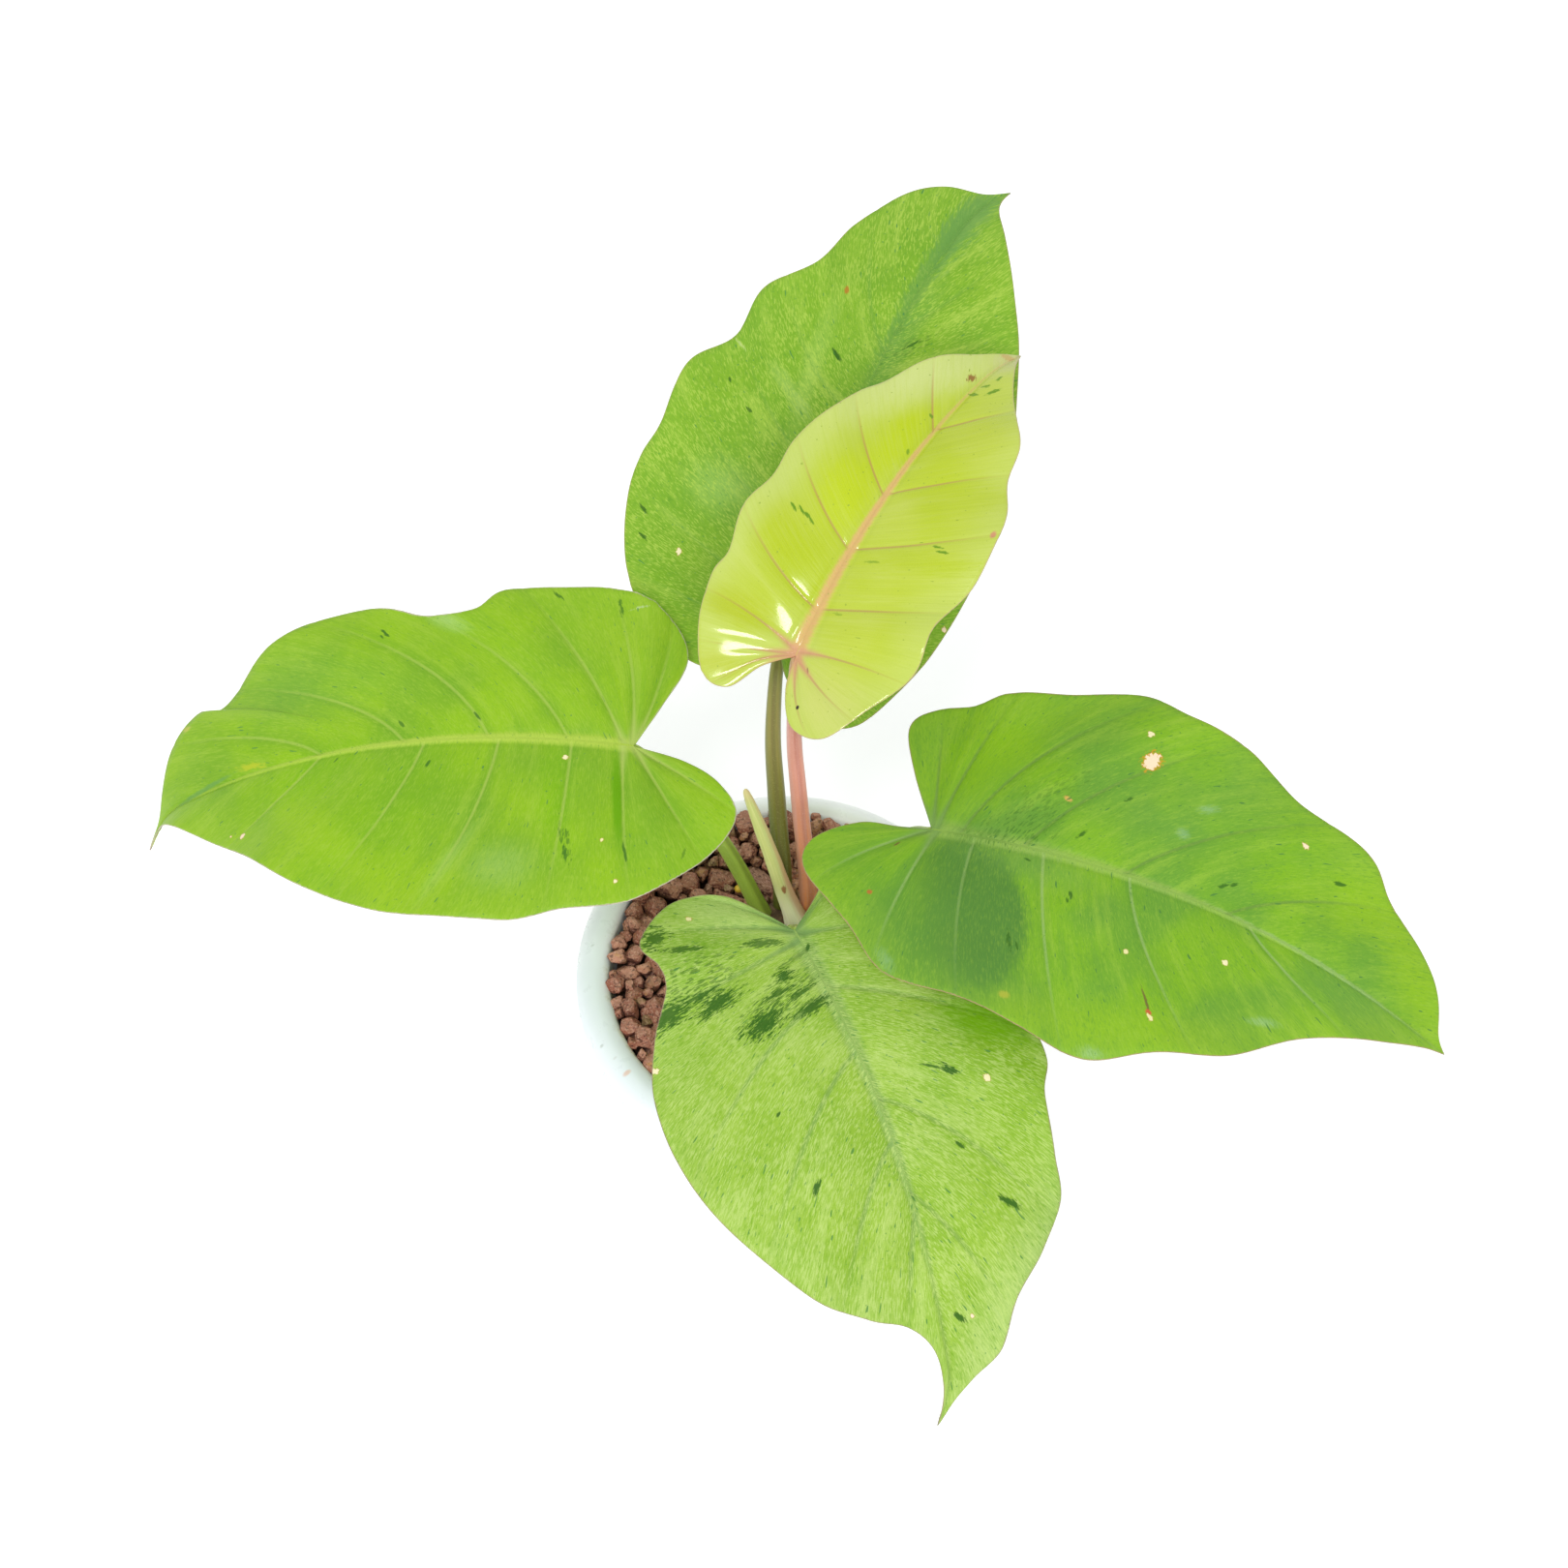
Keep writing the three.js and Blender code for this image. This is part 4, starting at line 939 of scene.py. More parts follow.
        "dark": (1.4, 0.35, 0.47, 0.31, 0.5), "dark_colour": (0.1, 0.27, 0.022), "streak": 0.5,
        "valley_shade": 0.15, "speck": 0.72, "speck_colour": (0.063, 0.221, 0.049),
        "veins": ((0.158, 0.332, 0.056), (0.174, 0.34, 0.056)), "vein_share": 0.3, "vein_width": 1.2,
        "rib": (0.15, 0.33, 0.06), "rib_share": 0.3, "rib_width": 1.0, "blush": (0.174, 0.316, 0.07),
        "margin": (0.395, 0.316, 0.14), "under": (0.253, 0.395, 0.112), "roughness": 0.42,
        "fleck": (0.028, 0.11, 0.008),
        "blots": [
            (187, 0, 22, 6.4, 2, 0.5, 0.6, 0.8, (0.135, 0.3, 0.065)),
            (158, 1.4, 34, 3.6, 1, 0.55, 0.8, 0.65, (0.12, 0.28, 0.05)),
            (118, -3, 30, 5, -4, 0.9, 0.4, 0.6, (0.134, 0.3, 0.05)),
            (126, -9, 9, 2.4, -37, 0.5, 1.7, 0.4, "fleck"),
            (105, 24, 24, 3.4, 8, 0.9, 0.6, 0.45, (0.36, 0.54, 0.1)),
            (92, 28, 12, 2.4, 56, 0.9, 0.6, 0.4, (0.4, 0.56, 0.15)),
            # Painted sheen: the next pale blot
            (49, 39, 12, 8, 81, 0.95, 0.4, 0.45, (0.32, 0.52, 0.13)),
            (40, 32, 6, 4.5, -51, 0.9, 0.3, 0.5, (0.11, 0.28, 0.02)),
            (10, 40, 30, 10, 70, 0.9, 0.5, 0.5, (0.134, 0.3, 0.007)),
            (137.8, 26.1, 1.7, 0.9, 20, 0.3, 0.6, 0.9, (0.395, 0.174, 0.021)),
            (103.8, 56.2, 2.6, 0.45, 62, 0.5, 1.2, 0.7, (0.48, 0.6, 0.2)),
        ],
        "flecks": [
            (111.3, 16.9, 3.0, 0.85, 55, 0.5, 0.95), (126.5, -8.7, 3.0, 0.5, -37, 1.2, 0.75),
            (33.4, 68.1, 2.9, 0.6, 59, 0.9, 0.85), (23.6, 64.1, 2.2, 0.6, 64, 0.9, 0.85),
            (80.2, 40.8, 1.6, 0.6, 60, 0.6, 0.8), (88.9, 53.1, 1.2, 0.5, 40, 0.6, 0.8),
        ],
        "scars": [
            (21.7, 48.1, 1.2, 0.95, 20), (20.9, -60, 1.1, 0.9, 0),
        ],
    },
}
# Marks this soft lie under the veins. The raggedness decides how an edge is torn: marks above
# SHREDDED, and those shorter than FLECK_LENGTH, follow finer noise, and those above DASHED break up.
ZONE_SOFTNESS = 0.6
FLECK_SOFTNESS = 0.3
FLECK_LENGTH = 6.6
SHREDDED = 1.1
DASHED = 1.6
SCAR_COLOURS = ((0.8, 0.74, 0.44), (0.82, 0.66, 0.46), (0.74, 0.7, 0.34))
SCAR_RIM = (0.42, 0.34, 0.06)
BIG_SCAR_RIM = (0.55, 0.27, 0.01)
SCAR_RIM_WIDTH = 0.25
BIG_SCAR_RIM_WIDTH = 0.9
BIG_SCAR = 2.5
YOUNG_COAT = 0.6
YOUNG_COAT_ROUGHNESS = 0.09


def paint_blots(look, colour, paint, plane, flow, ragged, soft_ones):
    """Either the soft marks of the leaf, or those with sharp edges."""
    torn = look.centred(look.noise(flow, (1.7, 0.5, 9.9), 3.0, 0.65))
    shredded = look.plus(torn, ragged)
    cell_place = look.scaled(flow, (0.8, 0.3, 3.3))
    cells = look.node("ShaderNodeTexVoronoi", {"Vector": cell_place, "Scale": 1.0})
    dashes = look.plus(cells.outputs["Distance"], look.times(torn, 0.7))
    dashes = look.fall(dashes, 0.42, 0.5)
    marks = list(paint["blots"])
    for x, y, length, width, angle, rough, amount in paint["flecks"]:
        marks.append((x, y, length, width, angle, FLECK_SOFTNESS, rough, amount, "fleck"))
    for x, y, length, width, angle, soft, rough, amount, tint, *fade in marks:
        if (soft >= ZONE_SOFTNESS or bool(fade)) != soft_ones:
            continue
        noise = shredded if rough > SHREDDED else torn if length < FLECK_LENGTH else ragged
        edge = look.times(noise, 3.2 * min(rough, 1.0))
        inside = look.blot(plane, (x, y), (length, width), angle, edge, soft)
        if rough > DASHED:
            inside = look.times(inside, dashes)
        for turn, start, full in fade:
            direction = (math.cos(math.radians(turn)), math.sin(math.radians(turn)), 0.0)
            along = look.along(plane, direction)
            inside = look.times(inside, look.step(along, start, full))
        colour = look.blend(look.times(inside, amount), colour, paint.get(tint, tint))
    return colour


def leaf_top(name):
    """The upper side. Later colours lie over earlier ones."""
    paint = PAINT[name]
    look = Look(f"{name}_leaf_top")
    pattern = look.attribute("pattern")
    plane = look.scaled(pattern, (1.0, 1.0, 0.0))
    flow = look.attribute("flow")
    gap, share, inwards = look.parts(look.attribute("vein"))
    band, length_share, half = look.parts(look.attribute("rib"))
    from_rib = look.parts(pattern)[2]
    from_seat = look.length(plane)

    # Ground colour, paler towards the margin and darker beside the veins as painted shade, with broad
    # streaks
    cloud = look.noise(plane, (0.026, 0.026, 0.0), 2.0)
    colour = look.wash(paint["deep"], paint["main"], cloud, 0.36, 0.64)
    outer = look.plus(inwards, look.times(cloud, 30.0))
    colour = look.wash(colour, paint["edge"], outer, 14.0, 36.0, 0.0, 0.7)
    # Painted shade beside the veins, partly a deeper green of the leaf
    valley_shade = look.times(look.fall(gap, 0.8, 4.5), look.fall(share, 0.3, 0.9))
    colour = look.blend(look.times(valley_shade, paint["valley_shade"]), colour, paint["dark_colour"])
    broad = look.noise(flow, (0.14, 0.022, 3.1), 3.0, 0.6)
    colour = look.wash(colour, paint["pale_colour"], broad, 0.5, 0.72, paint["streak"])
    colour = look.wash(colour, paint["deep"], broad, 0.5, 0.3, paint["streak"])

    # Soft zones, then the veins and the midrib
    ragged = look.centred(look.noise(flow, (0.75, 0.2, 9.9), 3.0, 0.65))
    colour = paint_blots(look, colour, paint, plane, flow, ragged, True)
    width = paint["vein_width"]
    line = look.fall(gap, 0.2 * width, width)
    fade = look.step(share, 0.35, 1.0, 1.0, 0.1)
    strength = look.times(look.times(line, fade), paint["vein_share"])
    on_left = look.step(half, -0.1, 0.1)
    vein_colour = look.blend(on_left, paint["veins"][1], paint["veins"][0])
    colour = look.blend(strength, colour, vein_colour)
    rib_place = look.math("DIVIDE", from_rib, look.times(band, paint["rib_width"]))
    rib_place = look.plus(rib_place, look.times(ragged, 0.9))
    ribbed = look.times(look.fall(rib_place, 0.35, 1.35), paint["rib_share"])
    ribbed = look.times(ribbed, look.step(length_share, 0.4, 1.0, 1.0, 0.3))
    colour = look.blend(ribbed, colour, paint["rib"])

    # Short marks of the variegation, and the grain
    area = look.noise(plane, (0.06, 0.06, 0.0), 1.0)
    drift = look.times(look.centred(area), 0.2)
    for key, depth in (("dark", 5.3), ("pale", 7.3)):
        across, along, start, full, strength = paint[key]
        marks = look.plus(look.noise(flow, (across, along, depth), 3.0, 0.65), drift)
        colour = look.wash(colour, paint[f"{key}_colour"], marks, start, full, strength)
    grain = look.noise(plane, (1.9, 1.9, 0.0), 2.0, 0.7)
    colour = look.wash(colour, paint["dark_colour"], grain, 0.5, 0.75, 0.3)

    # Marks with sharp edges, and small random specks
    colour = paint_blots(look, colour, paint, plane, flow, ragged, False)
    dark = look.noise(flow, (0.62, 0.17, 21.0), 1.0)
    start = paint["speck"]
    colour = look.wash(colour, paint["speck_colour"], dark, start, start + 0.03, 0.85)
    dots = look.noise(plane, (0.8, 0.8, 0.0), 0.0)
    colour = look.wash(colour, paint["speck_colour"], dots, 0.8, 0.83, 0.6)
    blushed = look.plus(from_seat, look.times(look.math("MINIMUM", inwards, gap), 6.0))
    colour = look.wash(colour, paint["blush"], blushed, 3.0, 22.0, 0.0, 0.85)

    # Scars with their rims, and the worn margin
    worn = look.times(look.centred(look.noise(plane, (0.9, 0.9, 0.0), 2.0)), 1.7)
    for number, (x, y, length, width, angle) in enumerate(paint["scars"]):
        big = length > BIG_SCAR
        rim = BIG_SCAR_RIM_WIDTH if big else SCAR_RIM_WIDTH
        halo = look.blot(plane, (x, y), (length + rim, width + rim), angle, worn, 0.2)
        colour = look.blend(look.times(halo, 0.8), colour, BIG_SCAR_RIM if big else SCAR_RIM)
        inside = look.blot(plane, (x, y), (length, width), angle, worn, 0.14)
        colour = look.blend(inside, colour, SCAR_COLOURS[number % len(SCAR_COLOURS)])
    worn = look.plus(inwards, look.times(ragged, 1.2))
    worn = look.times(look.step(worn, 0.05, 0.4, 0.5, 0.0), look.step(from_seat, 4.0, 14.0))
    colour = look.blend(worn, colour, paint["margin"])

    lines = look.noise(flow, (0.9, 0.03, 2.0), 2.0, 0.6)
    normal = look.bump(lines, 0.0005, 0.4)
    normal = look.bump(grain, 0.00015, 0.4, normal)
    roughness = look.step(grain, 0.3, 0.7, paint["roughness"] - 0.05, paint["roughness"] + 0.07)
    if name == "young":
        look.shader.inputs["Coat Weight"].default_value = YOUNG_COAT
        look.shader.inputs["Coat Roughness"].default_value = YOUNG_COAT_ROUGHNESS
    return look.finish(colour, roughness, 0.16, normal)


def leaf_under(name):
    """The underside: paler, with its raised veins and midrib in their own colours."""
    paint = PAINT[name]
    look = Look(f"{name}_leaf_under")
    pattern = look.attribute("pattern")
    flow = look.attribute("flow")
    gap, share, inwards = look.parts(look.attribute("vein"))
    band = look.parts(look.attribute("rib"))[0]
    from_rib = look.parts(pattern)[2]
    cloud = look.noise(pattern, (0.05, 0.05, 0.0), 3.0)
    darker = tuple(0.78 * value for value in paint["under"])
    paler = tuple(mix(value, 0.7, 0.25) for value in paint["under"])
    colour = look.wash(darker, paint["under"], cloud, 0.35, 0.65)
    streak = look.noise(flow, (0.8, 0.12, 4.0), 3.0, 0.6)
    colour = look.wash(colour, paler, streak, 0.52, 0.7, 0.6)
    line = look.times(look.fall(gap, 0.5, 1.3), look.step(share, 0.4, 1.0, 0.85, 0.1))
    vein_colour = tuple(mix(pale, vein, 0.6) for pale, vein in zip(paler, paint["veins"][1]))
    colour = look.blend(line, colour, vein_colour)
    ribbed = look.step(look.math("DIVIDE", from_rib, band), 0.8, 1.25, 0.9, 0.0)
    colour = look.blend(ribbed, colour, paint["rib"])
    colour = look.wash(colour, paint["margin"], inwards, 0.15, 0.8, 0.0, 0.7)
    normal = look.bump(streak, 0.0004, 0.4)
    return look.finish(colour, 0.62, 0.3, normal)


def leaf_margin(name):
    look = Look(f"{name}_leaf_margin")
    pattern = look.attribute("pattern")
    wear = look.noise(pattern, (0.35, 0.35, 0.0), 3.0)
    tint = PAINT[name]["margin"]
    worn = tuple(0.62 * value for value in tint)
    colour = look.wash(tint, worn, wear, 0.4, 0.68)
    from_seat = look.length(look.scaled(pattern, (1.0, 1.0, 0.0)))
    colour = look.wash(colour, PAINT[name]["blush"], from_seat, 4.0, 18.0, 0.0, 1.0)
    return look.finish(colour, 0.5, 0.3)


# Stems

def swept_piece(name, line, section, sides, material, ahead=(0.0, 0.0, 1.0)):
    """A closed stem: rings of a section along a line, with angle 0 on the side named by ahead."""
    along = unit(np.gradient(line, axis=0))
    upper = unit(ahead - along * (along @ np.array(ahead))[:, None])
    across = np.cross(along, upper)
    shares = np.linspace(0, 1, len(line))
    angles = np.linspace(0, 2 * np.pi, sides, endpoint=False)
    share, angle = np.meshgrid(shares, angles, indexing="ij")
    up, aside = section(share, angle)
    rings = line[:, None] + upper[:, None] * up[..., None] + across[:, None] * aside[..., None]
    values = np.stack([share, np.cos(angle), np.sin(angle)], -1).reshape(-1, 3)
    values = np.vstack([values, [(0.0, 0.0, 0.0), (1.0, 0.0, 0.0)]])
    return ring_piece(name, rings, line[[0, -1]], material, {"stem": values})


def petiole_piece(name, material):
    """A petiole with its grooved upper side, which turns into the midrib under its blade."""
    stem = PETIOLES[name]
    blade = Blade(LEAVES[name])
    seat, along, normal = blade.place[0], blade.along[0], blade.normal[0]
    # The last two points: just below the seat, and inside the raised midrib
    end = seat - normal * (BLADE_THICKNESS + RIB_BASE + 0.6) - along * 0.8
    inside = seat - normal * 1.9 + along * 2.2
    line = space_spline(list(stem["axis"]) + [end, inside], PETIOLE_STEPS)
    base, middle, top = stem["radii"]

    def section(share, angle):
        taper = np.where(share < 0.5, mix(base, middle, share * 2), mix(middle, top, share * 2 - 1))
        taper = taper * mix(1.16, 1.0, smooth(0.0, 0.22, share))
        taper = taper * mix(1.0, 0.62, smooth(0.97, 1.0, share))
        turned = np.minimum(angle, 2 * np.pi - angle)
        groove = 1 - PETIOLE_GROOVE * np.exp(-(turned / PETIOLE_GROOVE_WIDTH) ** 2)
        swell = 1 + 0.02 * np.sin(share * 23 + angle) + 0.012 * np.sin(3 * angle + 9 * share)
        return np.cos(angle) * taper * groove * swell, np.sin(angle) * taper * groove * swell

    piece = swept_piece(f"stem_{name}", line, section, PETIOLE_SIDES, material)
    settle(piece, stem["slot"], f"petiole_{name}")


def stem_material(name, ends, edge_tint, line_tint, speckle):
    """ends are (share along the stem, colour). The flanks have edge_tint, the groove line_tint."""
    look = Look(name)
    stem = look.attribute("stem")
    share, ahead, aside = look.parts(stem)
    colour = ends[0][1]
    for (start, _), (end, tint) in zip(ends, ends[1:]):
        colour = look.wash(colour, tint, share, start, end)
    flank = look.math("ABSOLUTE", aside)
    colour = look.wash(colour, edge_tint, flank, 0.6, 1.0, 0.5)
    groove = look.step(ahead, 0.9, 0.995, 0.0, 0.55)
    colour = look.blend(groove, colour, line_tint)
    place = look.place()
    long_streaks = look.noise(stem, (6.0, 5.0, 5.0), 3.0)
    colour = look.wash(colour, edge_tint, long_streaks, 0.45, 0.7, 0.4)
    specks = look.noise(place, 1900.0, 2.0, 0.7)
    colour = look.wash(colour, speckle, specks, 0.56, 0.7, 0.5)
    normal = look.bump(specks, 0.00012, 0.3)
    return look.finish(colour, 0.38, 0.4, normal)


def cataphyll_piece(material):
    """The spear: a rolled sheath leaf with a keel and two overlapping edges."""
    line = space_spline(CATAPHYLL_AXIS, PETIOLE_STEPS)

    def section(share, angle):
        size = np.interp(share, CATAPHYLL_STATIONS, CATAPHYLL_SIZES)
        middle = np.sin(np.pi * clamp01(share)) ** 0.5
        keel = 0.1 * np.exp(-((angle - 0.35) / 0.16) ** 2)
        keel = keel - 0.1 * np.exp(-((angle - 1.0) / 0.3) ** 2)
        back = 0.08 * np.exp(-((angle - np.pi) / 0.4) ** 2)
        size = size * (1 + keel * middle + back) * (1 + 0.015 * np.sin(share * 31 + 2 * angle))
        return np.cos(angle) * CATAPHYLL_DEPTH / 2 * size, np.sin(angle) * CATAPHYLL_WIDTH / 2 * size

    piece = swept_piece("spear_sheath", line, section, SHEATH_SIDES, material, TOWARDS_VIEWER)
    settle(piece, "cataphyll", "cataphyll")


def cataphyll_material():
    """Cream at the foot, green above, with a pinkish right flank and a brown spot in front."""
    look = Look("sheath_leaf")
    stem = look.attribute("stem")
    share, ahead, aside = look.parts(stem)
    colour = look.wash((0.98, 0.95, 0.66), (0.58, 0.61, 0.21), share, 0.18, 0.46)
    colour = look.wash(colour, (0.5, 0.55, 0.16), share, 0.4, 0.9)
    grain = look.noise(stem, (2.5, 6.0, 6.0), 4.0, 0.6)
    colour = look.wash(colour, (0.78, 0.76, 0.38), grain, 0.45, 0.7, 0.5)
    # Pinkish along the right flank, most of all at a third of the height
    flank = look.plus(aside, look.times(grain, 0.3))
    rosy = look.step(share, 0.5, 0.85, 0.75, 0.35)
    colour = look.blend(look.times(look.step(flank, 0.85, 1.12), rosy), colour, (0.5, 0.27, 0.12))
    spot_place = look.flat(share, aside)
    near_edge = look.blot(spot_place, (0.33, 0.95), (0.15, 0.38), 0, None, 0.7)
    colour = look.blend(look.times(near_edge, 0.6), colour, (0.62, 0.33, 0.2))
    # The brown spot in front, and the dry tip
    spotted = look.centred(look.noise(stem, (60.0, 9.0, 9.0), 2.0))
    spot = look.blot(spot_place, (0.4, 0.35), (0.022, 0.26), 0, look.times(spotted, 1.6), 0.3)
    spot = look.times(spot, look.step(ahead, 0.0, 0.2))
    colour = look.blend(look.times(spot, 0.9), colour, (0.3, 0.1, 0.03))
    colour = look.wash(colour, (0.66, 0.5, 0.26), share, 0.9, 1.0, 0.6)
    fibres = look.noise(stem, (1.2, 22.0, 22.0), 2.0)
    normal = look.bump(fibres, 0.0003, 0.35)
    return look.finish(colour, 0.48, 0.4, normal)


# Pot

def inner_radius(z):
    return mix(BASE_RADIUS - WALL, RIM_INNER_RADIUS, clamp01((z - FLOOR) / (RIM_TOP - 5 - FLOOR)))


def turned_piece(name, profile, sides, material):
    """A closed turned mesh: a profile of (radius, height) that starts and ends on the axis."""
    profile = np.array(profile, float)
    angles = np.linspace(0, 2 * np.pi, sides, endpoint=False)
    radius, angle = np.meshgrid(profile[1:-1, 0], angles, indexing="ij")
    height = np.repeat(profile[1:-1, 1:], sides, 1)
    rings = np.stack([radius * np.cos(angle), radius * np.sin(angle), height], -1)
    middles = [(0.0, 0.0, profile[0, 1]), (0.0, 0.0, profile[-1, 1])]
    return ring_piece(name, rings, middles, material)


def rounded(points, count):
    """A smooth line through profile points, for the parts of a profile that are curved."""
    return [tuple(point) for point in flat_spline(points, count)]


def drill_drains(piece):
    """Cuts the drain holes through the floor of the pot."""
    cutters = []
    for hole in range(DRAIN_COUNT):
        angle = 2 * math.pi * (hole + 0.5) / DRAIN_COUNT
        work = bmesh.new()
        bmesh.ops.create_cone(work, cap_ends=True, segments=DRAIN_SIDES, radius1=DRAIN_RADIUS * MM,
                              radius2=DRAIN_RADIUS * MM, depth=4 * FLOOR * MM)
        data = bpy.data.meshes.new("drill")
        work.to_mesh(data)
        work.free()
        cutter = add_object("drill", data)
        centre = DRAIN_CIRCLE * MM
        cutter.location = (centre * math.cos(angle), centre * math.sin(angle), 0)
        piece.modifiers.new("drain", "BOOLEAN").object = cutter
        cutters.append(cutter)
    bpy.context.view_layer.update()
    graph = bpy.context.evaluated_depsgraph_get()
    drilled = bpy.data.meshes.new_from_object(piece.evaluated_get(graph))
    piece.modifiers.clear()
    piece.data = drilled
    for cutter in cutters:
        bpy.data.objects.remove(cutter)


def pot_piece(material):
    """The pot: foot, tapered wall, crease under the rim, wide convex rim, inside and floor."""
    skirt = RIM_TOP - RIM_SKIRT
    channel = RIM_TOP - 7.5
    lip = RIM_RADIUS - WALL
    under_lip = inner_radius(channel) + WALL
    corner = BASE_RADIUS - WALL
    foot = rounded([(BASE_RADIUS - 3.4, 0), (BASE_RADIUS - 1, 0), (BASE_RADIUS, 1.2),
                    (BASE_RADIUS + 0.3, 4)], 9)
    wall = [(inner_radius(z) + WALL, z) for z in np.linspace(6, channel - 1.5, 40)]
    crease = rounded([(under_lip, channel - 1.2), (under_lip + 1.3, channel),
                      (lip - 1.4, channel - 0.6)], 8)
    rim = rounded([
        (lip, channel - 2), (lip - 0.4, skirt + 0.6), (lip + 0.2, skirt), (RIM_RADIUS - 0.9, skirt),
        (RIM_RADIUS - 0.4, skirt + 0.6), (RIM_RADIUS, RIM_TOP - 9), (RIM_RADIUS - 1, RIM_TOP - 5),
        (RIM_RADIUS - 3.6, RIM_TOP - 1.8), (RIM_RADIUS - 7.5, RIM_TOP),
        (RIM_INNER_RADIUS + 3, RIM_TOP - 0.8), (RIM_INNER_RADIUS + 0.6, RIM_TOP - 3),
        (RIM_INNER_RADIUS, RIM_TOP - 5.2)], 64)
    inside = [(inner_radius(z), z) for z in np.linspace(RIM_TOP - 7, FLOOR + 2.2, 36)]
    cove = rounded([(corner + 0.4, FLOOR + 2), (corner - 0.5, FLOOR + 0.5), (corner - 2.4, FLOOR)], 6)
    profile = [(0, 0.0), (20, 0.0), (42, 0.0)] + foot + wall + crease + rim + inside + cove
    profile += [(42, FLOOR), (20, FLOOR), (0, FLOOR)]
    piece = turned_piece("pot_shell", profile, POT_SIDES, material)
    drill_drains(piece)
    settle(piece, "pot", "pot")


# Specks of dirt on the rim: (x, y, half length, half width, strength, colour)
RIM_SPOTS = [
    (-62.4, -48.7, 1.6, 0.9, 0.6, (0.75, 0.42, 0.25)),
    (-72.9, -36.2, 0.7, 0.6, 0.5, (0.4, 0.45, 0.4)),
    (-67.4, -42.1, 0.9, 0.5, 0.3, (0.5, 0.5, 0.45)),
    (-78.3, 8.8, 0.7, 0.5, 0.4, (0.45, 0.5, 0.45)),
]


def pot_material():
    """White plastic with painted light on the far side, a faint stain where the gravel meets the rim and
    a few specks.
    """
    look = Look("white_plastic")
    place = look.place()
    x, y, height = look.parts(place)
    flat = look.flat(x, y)
    radius = look.length(flat)
    cloud = look.noise(place, 34.0, 3.0)
    colour = look.wash((0.81, 0.875, 0.905), (0.85, 0.905, 0.93), cloud, 0.35, 0.65)
    # Painted light: whiter towards the far side
    colour = look.wash(colour, (0.95, 0.965, 0.97), y, 0.0, 0.06)
    # A yellowish stain inside the near part of the rim, brown next to the stones
    blotch = look.noise(place, 120.0, 4.0, 0.65)
    line = look.plus(radius, look.times(look.centred(blotch), 0.009))
    above = look.times(look.step(height, 0.112, 0.117), look.step(y, 0.03, -0.01))
    stain = look.times(look.step(line, 0.0712, 0.074, 0.22, 0.0), above)
    colour = look.blend(stain, colour, (0.74, 0.75, 0.5))
    deeper = look.times(look.step(line, 0.0697, 0.0722, 0.5, 0.0), above)
    colour = look.blend(deeper, colour, (0.5, 0.42, 0.2))
    dust = look.noise(place, 420.0, 2.0, 0.6)
    colour = look.wash(colour, (0.5, 0.42, 0.3), dust, 0.74, 0.79, 0.35)
    for spot_x, spot_y, length, width, strength, tint in RIM_SPOTS:
        spot = look.blot(flat, (spot_x * MM, spot_y * MM), (length * MM, width * MM), 30, None, 0.5)
        spot = look.times(spot, look.step(height, 0.115, 0.12, 0.0, strength))
        colour = look.blend(spot, colour, tint)
    rings = look.noise(place, (30.0, 30.0, 900.0), 2.0)
    normal = look.bump(rings, 0.0002, 0.12)
    roughness = look.step(blotch, 0.3, 0.7, 0.26, 0.36)
    return look.finish(colour, roughness, 0.5, normal)


# Gravel

EXTRA_CUTS = 4
EDGE_SHARPNESS = 46
FARTHEST_CORNER = 1.24
CHIP_WAVES = 6
CHIP_DEPTH = 0.013
STONE_SWELL = 1.12
SMALL_STONE = 2.9
BIG_STONE = 4.5
TRIES = 60
# Layers of stones: (count, smallest and largest radius, closeness, heights, whether it is on top)
STONE_LAYERS = [
    (150, 3.4, 4.6, 0.84, (111.0, 113.5), False),
    (46, 4.6, 5.9, 0.82, (117.0, 119.0), True),
    (190, 3.0, 4.4, 0.8, (116.0, 119.4), True),
    (240, 1.8, 2.9, 0.8, (116.0, 119.6), True),
]


def ball_template(fineness):
    """Directions and faces of a ball."""
    work = bmesh.new()
    bmesh.ops.create_icosphere(work, subdivisions=fineness, radius=1.0)
    directions = np.array([tuple(vertex.co) for vertex in work.verts])
    faces = np.array([[vertex.index for vertex in face.verts] for face in work.faces])
    work.free()
    return unit(directions), faces


def random_turn(random):
    """A random rotation matrix."""
    turn, _ = np.linalg.qr(random.normal(size=(3, 3)))
    return turn * np.sign(np.linalg.det(turn))


def stone_points(directions, size, random):
    """A piece of crushed rock: a ball cut by random planes, with chipped, pitted faces."""
    axes = np.vstack([np.eye(3), -np.eye(3), unit(random.normal(size=(EXTRA_CUTS, 3)))])
    planes = unit(axes + 0.4 * random.normal(size=axes.shape))
    reach = random.uniform(0.72, 0.98, len(planes))
    facing = np.maximum(directions @ planes.T, 0) / reach
    radius = 1 / np.power(np.power(facing, EDGE_SHARPNESS).sum(1), 1 / EDGE_SHARPNESS)
    radius = np.minimum(radius, FARTHEST_CORNER)
    chips = np.zeros(len(directions))
    for _ in range(CHIP_WAVES):
        wave = random.normal(size=3) * 7.0
        chips += np.sin(directions @ wave + random.uniform(0, 6))
    chips += random.normal(size=len(directions)) * 1.3
    points = directions * (radius * (1 + CHIP_DEPTH * chips))[:, None] * size
    points *= random.uniform(0.78, 1.0, 3)
    return points @ random_turn(random).T


def is_free(x, y, size, on_top, closeness, placed):
    """Whether a stone keeps its distance from those of its own layer."""
    for other_x, other_y, _, other_size, other_on_top in placed:
        gap = math.hypot(x - other_x, y - other_y)
        if other_on_top == on_top and gap <= closeness * (size + other_size):
            return False
    return True


